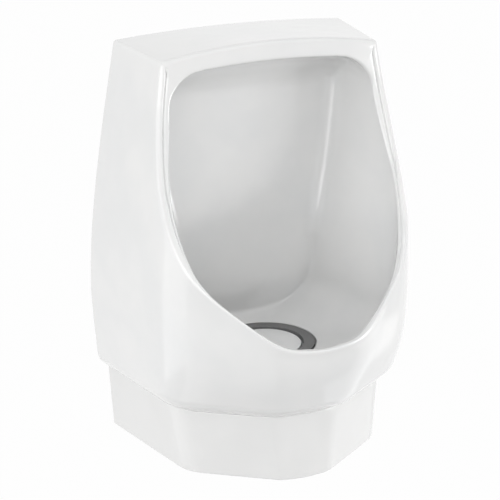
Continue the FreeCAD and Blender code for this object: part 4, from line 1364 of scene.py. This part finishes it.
    def rim_face(self, edge: np.ndarray, inner: np.ndarray, rounding: np.ndarray) -> np.ndarray:
        """Raked face of the rim between its two roundings, with the groove pressed into it.

        Args:
            edge: points on the rim's outer edge.
            inner: points on the mouth's edge that face them.
            rounding: reach of the outer rounding.

        Returns:
            Rows of points from the outer to the inner rounding.
        """
        across = inner - edge
        width = np.linalg.norm(across, axis=-1)
        sine = self.sine_to(edge, across)
        outer_part = np.minimum(rounding / sine / width, self.round_share)
        inner_part = np.minimum(self.body.mouth_round / width, self.round_share)
        run = np.linspace(0.0, 1.0, self.face_rows)[:, None] ** self.face_crowding
        run = (1 - outer_part - inner_part) * run
        face = edge + across * (outer_part + run)[..., None]
        square = unit(np.cross(np.gradient(edge, axis=0), across))
        return face - self.groove(edge, run * width * sine)[..., None] * square

    def bowl_sheet(self, mouth: np.ndarray) -> tuple[np.ndarray, np.ndarray, np.ndarray]:
        """Rows of the bowl from the mouth's rounding down to the drain.

        Args:
            mouth: shares and levels on the mouth's edge.

        Returns:
            The part of each line that the rounding takes, the rows, and the directions in which they start.
        """
        share, top = mouth[:, 0], mouth[:, 1]
        below = self.body.bowl(share, top * (1 - self.bowl_step))
        start = self.bowl_step * self.back_off(self.body.bowl(share, top), below, self.body.mouth_round)
        down = np.linspace(0.0, 1.0, self.bowl_rows)[:, None]
        level = top * (1 - (start + (1 - start) * down))
        rows = self.body.bowl(share, level)
        entering = unit(self.body.bowl(share, top * (1 - start - self.bowl_lead)) - rows[0])
        return start, rows, entering

    def seat(self, mouth: np.ndarray) -> np.ndarray:
        """Drain seat: rings of its radii and heights round the drain, one point for each line.

        Args:
            mouth: shares and levels on the mouth's edge.

        Returns:
            Points of shape (rings, lines, 3).
        """
        turn = self.body.drain_turn(mouth[:, 0])
        radius, height = np.hsplit(self.seat_rings, 2)
        places = radius * np.sin(turn), radius * np.cos(turn) - self.body.drain_depth, height
        return np.stack(np.broadcast_arrays(*places), axis=-1)

    def hollow(self, cut: np.ndarray, mouth: np.ndarray, start: np.ndarray, skin: np.ndarray,
               bowl: np.ndarray) -> np.ndarray:
        """Back of the walls: behind the bowl from the drain up to the rim, then back to the wall.

        The wall is as thick as the china, but never more than half the gap between the two skins.

        Args:
            cut: where the outside lines end.
            mouth: shares and levels on the mouth's edge.
            start: the part of each bowl line that the mouth's rounding takes.
            skin: rows of the outside.
            bowl: rows of the bowl.

        Returns:
            Rows of points from the drain to the wall.
        """
        body = self.body
        up = np.linspace(0.0, 1.0, self.hollow_rows)[:, None]
        highest = mouth[:, 1] * (1 - start * self.hollow_backing)
        level = self.hollow_level + (highest - self.hollow_level) * up
        gap = self.gap_between(body.bowl(mouth[:, 0], level), skin[::2, ::2])
        behind = body.bowl(mouth[:, 0], level, self.half_gap(gap, body.wall))

        sides = body.side_lines
        back = (cut - self.hollow_backing * (1 - cut)) * up[::-1]
        plain = self.outside(back)
        gap = self.gap_between(plain, bowl[::2, ::2])
        side = self.side(back[:, :sides], self.half_gap(gap[:, :sides], body.wall), body.cavity_top)
        rest = plain[:, sides:].copy()
        drop = rest[..., 2] - body.cavity_top
        rest[..., 2] -= np.minimum(drop, self.half_gap(gap[:, sides:], self.top_drop))
        limit = side[:, -1:, 0]
        edge = plain[:, sides + body.edge_lines:sides + body.edge_lines + 1, 0]
        rest[..., 0] = np.minimum(rest[..., 0] / edge, 1.0) * limit
        return np.concatenate([behind, np.concatenate([side, rest], axis=1)], axis=0)

    def build(self) -> bpy.types.Object:
        """Make the closed skin: outside, rim, bowl, drain seat, hollow back and wall band.

        Returns:
            The new piece.
        """
        body = self.body
        columns = body.side_lines + body.edge_lines + body.top_lines
        edge = self.outside(np.ones((1, columns)))[0]
        near = self.outside(np.full((1, columns), 1.0 - self.end_step))[0]
        rounding = body.rounding(edge[:, 2])
        cut = 1.0 - self.end_step * self.back_off(edge, near, rounding)
        skin = self.outside(np.linspace(0.0, 1.0, self.outer_rows)[:, None] ** self.outer_crowding * cut)
        leaving = unit(self.outside(cut[None])[0] - self.outside(cut[None] - self.leave_step)[0])

        mouth = self.mouth_lines(edge)
        face = self.rim_face(edge, body.bowl(mouth[:, 0], mouth[:, 1]), rounding)
        start, bowl, entering = self.bowl_sheet(mouth)
        outer_round = self.round_over(skin[-1], leaving, face[0], unit(face[1] - face[0]), rounding[:, None])
        inner_round = self.round_over(face[-1], unit(face[-1] - face[-2]), bowl[0], entering, body.mouth_round)

        hollow = self.hollow(cut, mouth, start, skin, bowl)
        sheets = [skin, outer_round[1:], face[1:], inner_round[1:], bowl[1:], self.seat(mouth), hollow]
        loop = np.concatenate(sheets, axis=0)
        bare = np.zeros((len(loop), 1))
        bare[-len(hollow):] = 1.0
        maker = MeshBuilder("glazed_china")
        maker.grid(loop, across=True, mark=bare)
        return maker.build(mirror=True)

    def dress(self) -> None:
        """Build the skin and glaze it."""
        wear(self.build(), self.glaze, "root", "china", "china_body")


@dataclass
class BodyFittings:
    """Hanging rail and foot flange of the china, seen only from behind. Sizes in millimetres."""

    body: ChinaBody
    rail_glaze: Glaze = Glaze("white_glaze_rail")
    foot_glaze: Glaze = Glaze("white_glaze_foot")
    rail_low: float = 505.0
    rail_high: float = 545.0
    rail_front: float = -22.0
    rail_back: float = -8.0
    rail_round: float = 2.5
    rail_steps: int = 25
    into_wall: float = 4.0
    foot_height: float = 40.0
    foot_gap: float = 0.5
    foot_thickness: float = 14.0
    foot_bevel: float = 1.5
    bevel_steps: int = 2
    foot_rows: int = 11
    foot_steps: int = 8
    notch_steps: int = 13
    hole_steps: int = 40
    hole_rows: int = 5
    anchor_x: float = 120.0
    anchor_rise: float = 21.5
    anchor_radius: float = 5.0
    notch_radius: float = 42.15
    notch_height: float = 80.0

    def rail(self) -> bpy.types.Object:
        """Rounded bar from side wall to side wall: its section carried along x, ending in the walls.

        Returns:
            The new piece.
        """
        section = rounded_profile([(self.rail_front, self.rail_low), (self.rail_back, self.rail_low),
                                   (self.rail_back, self.rail_high), (self.rail_front, self.rail_high)],
                                  [self.rail_round] * 4)
        edge = self.body.outer(np.zeros(len(section)), section[:, 1], self.body.wall - self.into_wall)
        share = np.linspace(-1.0, 1.0, self.rail_steps)[:, None]
        bar = np.stack(np.broadcast_arrays(share * edge[:, 0], section[:, 0], section[:, 1]), axis=-1)
        maker = MeshBuilder("hanging_rail")
        maker.grid(bar, around=True, mark=1.0)
        maker.sheet(bar[0])
        maker.sheet(bar[-1])
        return maker.build()

    def foot(self) -> bpy.types.Object:
        """Flat flange at the wall with a notch round the outlet and two anchor holes, made thick after.

        Returns:
            The new piece.
        """
        low, high = self.body.bottom + self.foot_gap, self.body.bottom + self.foot_height
        maker = MeshBuilder("foot_flange")
        half = self.foot_height / 2
        corner = math.sqrt(self.notch_radius ** 2 - (low - self.notch_height) ** 2)
        rows = (1.0 + np.tan(np.linspace(-math.pi / 4, math.pi / 4, self.foot_rows)))[:, None] / 2
        x = np.linspace(0.0, corner, self.notch_steps)
        arch = np.sqrt(self.notch_radius ** 2 - x ** 2) + self.notch_height
        self.on_wall(maker, x, arch + (high - arch) * rows)
        z = low + (high - low) * rows
        self.on_wall(maker, np.linspace(corner, self.anchor_x - half, self.foot_steps), z)
        end = self.body.outer(np.zeros_like(z), z, self.body.wall - self.into_wall)[..., 0]
        start = self.anchor_x + half
        self.on_wall(maker, start + (end - start) * np.linspace(0.0, 1.0, self.foot_steps), z)
        self.on_wall(maker, *self.anchor_plate(low, high), around=True)
        return self.thicken(maker.build(mirror=True))

    def on_wall(self, maker: MeshBuilder, x: np.ndarray, z: np.ndarray, around: bool = False) -> None:
        """Add an unglazed sheet on the wall plane."""
        maker.grid(np.stack(np.broadcast_arrays(x, 0.0, z), axis=-1), around=around, mark=1.0)

    def anchor_plate(self, low: float, high: float) -> tuple[np.ndarray, np.ndarray]:
        """Square round an anchor hole.

        Args:
            low: the flange's bottom edge.
            high: its top edge.

        Returns:
            x and height of rows from the hole's circle out to the square.
        """
        angle = np.linspace(0.0, 2 * math.pi, self.hole_steps, endpoint=False) + math.pi / 4
        ring = np.stack([np.cos(angle), np.sin(angle)], axis=-1)
        square = ring / np.abs(ring).max(axis=1, keepdims=True)
        hole = np.array([self.anchor_x, self.body.bottom + self.anchor_rise])
        inner = hole + ring * self.anchor_radius
        outer = np.array([self.anchor_x, (low + high) / 2]) + square * np.array([self.foot_height, high - low]) / 2
        t = np.linspace(0.0, 1.0, self.hole_rows)[:, None, None]
        plate = inner * (1 - t) + outer * t
        return plate[..., 0], plate[..., 1]

    def thicken(self, piece: bpy.types.Object) -> bpy.types.Object:
        """Give the flat flange its thickness towards the front, and worn edges.

        Args:
            piece: the flat flange.

        Returns:
            The same piece.
        """
        count = len(piece.data.polygons)
        facing = np.empty(count * 3)
        piece.data.polygons.foreach_get("normal", facing)
        piece.data.polygons.foreach_set("use_smooth", np.zeros(count, dtype=bool))
        thick = piece.modifiers.new("thickness", "SOLIDIFY")
        thick.thickness = self.foot_thickness * MM
        thick.offset = 1.0 if facing.reshape(-1, 3)[:, 1].mean() < 0 else -1.0
        worn = piece.modifiers.new("worn_edges", "BEVEL")
        worn.width = self.foot_bevel * MM
        worn.segments = self.bevel_steps
        worn.limit_method = "ANGLE"
        return piece

    def dress(self) -> None:
        """Build the rail and the foot and glaze them."""
        wear(self.rail(), self.rail_glaze, "root", "china")
        wear(self.foot(), self.foot_glaze, "root", "china")


@dataclass
class TrapCover:
    """Moulded skirt below the seam, open behind and below. Sizes in millimetres."""

    body: ChinaBody
    finish: Moulded = Moulded("skirt_white", (0.79, 0.79, 0.785), 0.16, 0.02, 300.0, 0.3)
    height: float = 99.5
    wall: float = 5.0
    lip: float = 13.0
    lip_height: float = 6.0
    top_inset: float = 17.44
    edge_round: float = 2.2
    boss_face: float = 178.5
    boss_depth: float = -18.0
    boss_height: float = 55.0
    boss_size: float = 14.0
    boss_inset: float = 2.0
    boss_gap: float = 4.0
    lip_edge: float = 0.8
    lip_corner: float = 2.0
    foot_edge: float = 1.5
    longest_step: float = 9.0
    steps: int = 150
    corner_radius: tuple[float, float] = (55.0, 75.0)
    nose_radius: tuple[float, float] = (60.0, 70.0)
    front_radius: float = 200.0
    foot_outline: np.ndarray = field(default_factory=lambda: np.array([
        [194.5, 0.0], [152.0, -197.0], [37.0, -277.0], [0.0, -282.0]]))

    def outline(self, share: np.ndarray, height: np.ndarray, inset: np.ndarray) -> np.ndarray:
        """Outside of the skirt: its bottom outline widens straight up to the china's bottom outline.

        Args:
            share: position along the half outline, from the wall to the middle.
            height: level.
            inset: distance inside.

        Returns:
            Points of shape (..., 3).
        """
        low = self.foot_outline
        _, wall, cx, cy, nx, ny, _, _ = self.body.stations()[0]
        seam = np.array([[wall, 0.0], [cx, cy], [nx, ny], [0.0, ny - self.body.nose_bulge]])
        high = inset_outline(seam, np.array(self.top_inset))
        share, height, inset = np.broadcast_arrays(share, height, inset)
        up = height / self.height
        corners = inset_outline(low + (high - low) * up[..., None, None], inset)
        corner, nose = (first + (last - first) * up for first, last in (self.corner_radius, self.nose_radius))
        radii = np.stack([np.zeros_like(up), corner, nose, np.full_like(up, self.front_radius)], axis=-1)
        return np.concatenate([rounded_path(corners, radii, share), height[..., None]], axis=-1)

    def build(self) -> bpy.types.Object:
        """Carry the wall's profile, with rounded edges and the lip, along the outline.

        Returns:
            The new piece.
        """
        lip_low = self.height - self.lip_height
        profile = rounded_profile([(0.0, 0.0), (0.0, self.height), (self.lip, self.height), (self.lip, lip_low),
                                   (self.wall, lip_low), (self.wall, 0.0)],
                                  [self.edge_round, self.edge_round, self.lip_edge, self.lip_edge,
                                   self.lip_corner, self.foot_edge])
        profile = split_profile(profile, self.longest_step)
        share = np.linspace(0.0, 1.0, self.steps)
        shell = self.outline(share[None, :], profile[:, 1:], profile[:, :1])
        maker = MeshBuilder("moulded_skirt")
        maker.grid(shell, across=True)
        maker.sheet(shell[:, 0])
        size = self.boss_size / 2
        inset = np.array([self.wall - self.boss_inset])
        side = self.outline(np.zeros(1), np.array([self.boss_height]), inset)[0, 0]
        maker.box((self.boss_face, self.boss_depth - size, self.boss_height - size),
                  (side - self.boss_gap, self.boss_depth + size, self.boss_height + size))
        return maker.build(mirror=True)

    def dress(self) -> None:
        """Build the skirt and give it its finish."""
        wear(self.build(), self.finish, "root", "cover_white", "trap_cover")


@dataclass
class DrainCartridge:
    """Ring and disc over the drain. Sizes in millimetres."""

    ring_finish: Metal = Metal("satin_ring", (0.20, 0.20, 0.202), 0.48, Grain.TURNED, 0.35)
    cap_finish: Moulded = Moulded("disc_grey", (0.84, 0.845, 0.845), 0.42, 0.006)
    axis: float = -DRAIN_DEPTH
    bore: float = 56.0
    rim: float = 72.4
    ring_low: float = 153.3
    ring_high: float = 157.3
    skirt: float = 59.6
    skirt_low: float = 145.5
    lug_radius: float = 63.0
    ring_rounds: tuple[float, float, float, float] = (0.01, 1.0, 1.3, 0.4)
    round_steps: int = 7
    lug_count: int = 3
    lug_high: float = 149.7
    lug_slope: float = 0.3
    lug_half_angle: float = 15.0
    lug_flank_angle: float = 1.5
    cap_radius: float = 52.4
    cap_edge: float = 155.0
    cap_dome: float = 1.3
    cap_thickness: float = 3.5
    cap_round: float = 1.2
    cap_bevel: float = 0.5
    cap_rows: int = 22
    stem_radius: float = 10.0
    stem_low: float = 131.0
    stem_bevel: float = 1.0
    rib_count: int = 4
    rib_thickness: float = 2.5
    rib_reach: float = 46.6
    rib_in_stem: float = 2.0
    rib_in_cap: float = 0.5
    steps: int = 240
    sharp: float = 32.0

    def ring(self) -> bpy.types.Object:
        """Turned ring with rounded edges and a skirt whose three lugs grow the radius over an angle.

        Returns:
            The new piece.
        """
        turned = Turned(self.axis, self.steps)
        plate = rounded_profile([(self.bore, self.ring_low), (self.bore, self.ring_high),
                                 (self.rim, self.ring_high), (self.rim, self.ring_low)],
                                self.ring_rounds, self.round_steps)
        pitch = 360.0 / self.lug_count
        away = np.abs((np.degrees(turned.angle) + pitch / 2) % pitch - pitch / 2)
        inside = (self.lug_half_angle - away) / self.lug_flank_angle + 0.5
        lug = np.clip(inside, 0.0, 1.0) * (self.lug_radius - self.skirt)
        under = np.array([[self.skirt, self.ring_low], [self.skirt, self.lug_high + self.lug_slope],
                          [self.skirt, self.lug_high], [self.skirt, self.skirt_low],
                          [self.bore, self.skirt_low], [self.bore, self.ring_low]])
        grows = np.array([0.0, 0.0, 1.0, 1.0, 0.0, 0.0])[:, None]
        maker = MeshBuilder("drain_ring")
        top = plate[self.round_steps - 1:]  # from the last point of the bore's lower corner
        rows = np.concatenate([top, under])
        radius = rows[:, :1] + np.concatenate([np.zeros((len(top), 1)), grows]) * lug
        maker.grid(turned.surface(radius, rows[:, 1:]), around=True, across=True)
        return maker.build(self.sharp)

    def cap(self) -> bpy.types.Object:
        """Turned disc, domed by a parabola and rounded at its edge, with a stem and four ribs below.

        Returns:
            The new piece.
        """
        turned = Turned(self.axis, self.steps)
        flat = self.cap_radius - self.cap_round
        out = np.linspace(0.0, flat, self.cap_rows)
        dome = self.cap_edge + self.cap_dome * (1 - (out / self.cap_radius) ** 2)
        low = self.cap_edge - self.cap_thickness
        bend = np.linspace(0.0, math.pi / 2, self.round_steps - 1)[1:]
        centre = np.array([flat, dome[-1] - self.cap_round])
        edge = centre + self.cap_round * np.stack([np.sin(bend), np.cos(bend)], axis=-1)
        tail = np.array([[self.cap_radius, low + self.cap_bevel], [self.cap_radius - self.cap_bevel, low],
                         [self.stem_radius, low], [self.stem_radius, self.stem_low + self.stem_bevel],
                         [self.stem_radius - self.stem_bevel, self.stem_low], [0.0, self.stem_low]])
        rows = np.concatenate([np.stack([out, dome], axis=-1), edge, tail])
        maker = MeshBuilder("drain_disc")
        maker.grid(turned.surface(rows[:, :1], rows[:, 1:]), around=True)
        half = self.rib_thickness / 2
        for index in range(self.rib_count):
            maker.box((self.stem_radius - self.rib_in_stem, self.axis - half, self.stem_low),
                      (self.rib_reach, self.axis + half, low + self.rib_in_cap),
                      2 * math.pi * (index + 0.5) / self.rib_count, self.axis)
        return maker.build(self.sharp)

    def dress(self) -> None:
        """Build the ring and the disc and give them their finishes."""
        wear(self.ring(), self.ring_finish, "lock_ring", "ring_metal", "lock_ring")
        wear(self.cap(), self.cap_finish, "cartridge", "cap_grey", "cartridge_cap")


@dataclass
class Fittings:
    """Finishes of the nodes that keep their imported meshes."""

    worn_by: dict[Finish, tuple[str, ...]] = field(default_factory=lambda: {
        Rubber("seal_grey", (0.62, 0.62, 0.615), (0.68, 0.68, 0.67)): ("cover_seal",),
        Metal("galvanised_steel", (0.56, 0.57, 0.58), 0.42, Grain.SPANGLE): (
            "cover_bracket_left", "cover_bracket_right", "wall_hanger_left", "wall_hanger_right"),
        Metal("stainless_steel", (0.62, 0.61, 0.59), 0.28, Grain.BRUSHED): (
            "cover_screws", "clamp_screws", "coupling_clamp_front", "coupling_clamp_rear"),
        Moulded("housing_black", (0.045, 0.046, 0.048), 0.4): ("drain_housing",),
        Rubber("black_rubber", (0.03, 0.03, 0.031), (0.09, 0.088, 0.085)): (
            "housing_gasket", "cartridge_oring", "cartridge_seat_gasket"),
        Rubber("sleeve_rubber", (0.05, 0.05, 0.052), (0.13, 0.128, 0.125)): ("coupling_sleeve",),
        Moulded("white_fitting", (0.72, 0.72, 0.70), 0.36): ("housing_washer", "housing_lock_nut", "wall_flange"),
        Moulded("pipe_grey", (0.40, 0.41, 0.42), 0.34): ("outlet_pipe",),
        Moulded("insert_grey", (0.30, 0.31, 0.32), 0.38): ("cartridge_cup", "cartridge_baffle")})

    def dress(self) -> None:
        """Give each kept node its finish."""
        for finish, nodes in self.worn_by.items():
            material = finish.material()
            for node in nodes:
                for slot in frame["nodes"][node].material_slots:
                    slot.link = "OBJECT"
                    slot.material = material
                log.info("%s wears %s", node, finish.name)


@dataclass
class Softbox:
    """A square lamp, placed by its direction from the point it is aimed at. Sizes in metres."""

    name: str
    left_of_front: float
    above: float
    distance: float
    size: float
    power: float

    def hang(self, aim: Triple) -> None:
        """Add the lamp and turn it to its aim.

        Args:
            aim: the point it faces.
        """
        turn, rise = math.radians(self.left_of_front), math.radians(self.above)
        away = Vector((-math.cos(rise) * math.sin(turn), -math.cos(rise) * math.cos(turn), math.sin(rise)))
        light = bpy.data.lights.new(self.name, "AREA")
        light.size = self.size
        light.energy = self.power
        lamp = bpy.data.objects.new(self.name, light)
        lamp.location = Vector(aim) + away * self.distance
        lamp.rotation_euler = away.to_track_quat("Z", "Y").to_euler()
        bpy.context.scene.collection.objects.link(lamp)


@dataclass
class Studio:
    """Camera, lamps, pale floor and white surroundings."""

    camera_place: Triple = (-1.012198, -2.414063, 1.124359)
    camera_pitch: float = math.pi / 2 - 0.34781
    camera_yaw: float = -0.40842
    lens: float = 131.196
    sensor_width: float = 36.0
    floor_height: float = -1.4
    floor_front: float = -0.45
    floor_back: float = 12.0
    floor_side: float = 7.0
    floor_points: int = 3
    floor_grey: Colour = (0.80, 0.80, 0.80)
    floor_pale: Colour = (0.83, 0.83, 0.83)
    floor_glow: float = 0.97
    floor_roughness: float = 0.7
    floor_scale: float = 3.0
    ambient: float = 0.71
    below: float = 0.10
    dim_from: float = -0.5
    aim: Triple = (0.0, -0.15, 0.25)
    lamps: list[Softbox] = field(default_factory=lambda: [
        Softbox("left_box", 71.0, 2.0, 2.3, 1.1, 9.4),
        Softbox("left_front_box", 45.0, 5.0, 2.3, 1.0, 6.6),
        Softbox("front_box", 25.0, 15.0, 2.4, 0.8, 3.4),
        Softbox("right_box", -45.0, -5.0, 2.2, 0.9, 15.0),
        Softbox("right_low_box", -55.0, -12.0, 2.2, 0.8, 4.0),
        Softbox("left_low_box", 104.0, -20.0, 1.8, 1.2, 2.2),
        Softbox("left_card", 58.0, -44.0, 1.2, 0.9, 0.9),
        Softbox("right_card", -80.0, -46.0, 1.2, 0.8, 0.8),
        Softbox("top_box", 40.0, 70.0, 2.4, 0.9, 6.4)])

    def background_seen(self, paint: Paint) -> Sock:
        """Tell the rays that see the background from those that are lit by it.

        Args:
            paint: the nodes to add to.

        Returns:
            One for rays from the camera and for reflected or refracted rays, else nothing.
        """
        kinds = ("Is Camera Ray", "Is Glossy Ray", "Is Transmission Ray")
        camera, glossy, through = (paint.add("ShaderNodeLightPath", {}, {}, kind) for kind in kinds)
        return (camera + glossy + through).clamped()

    def place_camera(self) -> None:
        """Add the camera where the photo was taken from."""
        camera = bpy.data.cameras.new("photo_camera")
        camera.sensor_width = self.sensor_width
        camera.lens = self.lens
        holder = bpy.data.objects.new("photo_camera", camera)
        holder.location = self.camera_place
        holder.rotation_euler = (self.camera_pitch, 0.0, self.camera_yaw)
        bpy.context.scene.collection.objects.link(holder)
        bpy.context.scene.camera = holder

    def lay_floor(self) -> None:
        """Add a pale floor below and behind, nearly white to the camera, with the object's shadow kept."""
        maker = MeshBuilder("floor")
        side = np.linspace(-self.floor_side, self.floor_side, self.floor_points) / MM
        x, y = np.meshgrid(side, np.linspace(self.floor_front, self.floor_back, self.floor_points) / MM)
        level = self.floor_height / MM + OUTLET_HEIGHT
        maker.grid(np.stack([x, y, np.full_like(x, level)], axis=-1))
        floor = maker.build()
        paint = Paint("pale_floor")
        seen = self.background_seen(paint)
        clouds = paint.noise(paint.place(), self.floor_scale)
        tone = paint.mix(clouds, self.floor_grey, self.floor_pale)
        values = {"Base Color": tone, "Roughness": self.floor_roughness}
        matt = paint.add("ShaderNodeBsdfPrincipled", {}, values)
        glow = paint.add("ShaderNodeEmission", {}, {"Color": (1.0, 1.0, 1.0, 1.0), "Strength": 1.0})
        paint.add_output(paint.add("ShaderNodeMixShader", {}, {0: seen * self.floor_glow, 1: matt, 2: glow}))
        floor.data.materials.append(paint.material)

    def surround(self) -> None:
        """White where it is seen; as light it is even and dimmer from below."""
        world = bpy.data.worlds.new("white_room")
        bpy.context.scene.world = world
        paint = Paint("white_room", world)
        seen = self.background_seen(paint)
        way = paint.add("ShaderNodeTexCoord", {}, {}, "Generated")
        rise = paint.add("ShaderNodeSeparateXYZ", {}, {"Vector": way}, "Z")
        level = paint.ramp(rise, self.dim_from, 0.0, self.below, self.ambient)
        values = {"Color": (1.0, 1.0, 1.0, 1.0), "Strength": level + seen * (1.0 - level)}
        paint.add_output(paint.add("ShaderNodeBackground", {}, values), "ShaderNodeOutputWorld")

    def set_up(self) -> None:
        """Put everything in place."""
        bpy.context.scene.view_settings.view_transform = "Standard"
        self.place_camera()
        self.surround()
        self.lay_floor()
        for lamp in self.lamps:
            lamp.hang(self.aim)


def main() -> None:
    """Build, dress and light the urinal."""
    logging.basicConfig(level=logging.INFO, format="%(message)s")
    body = ChinaBody()
    for assembly in (ChinaSkin(body), BodyFittings(body), TrapCover(body), DrainCartridge(), Fittings()):
        assembly.dress()
    Studio().set_up()


if __name__ == "__main__":
    main()
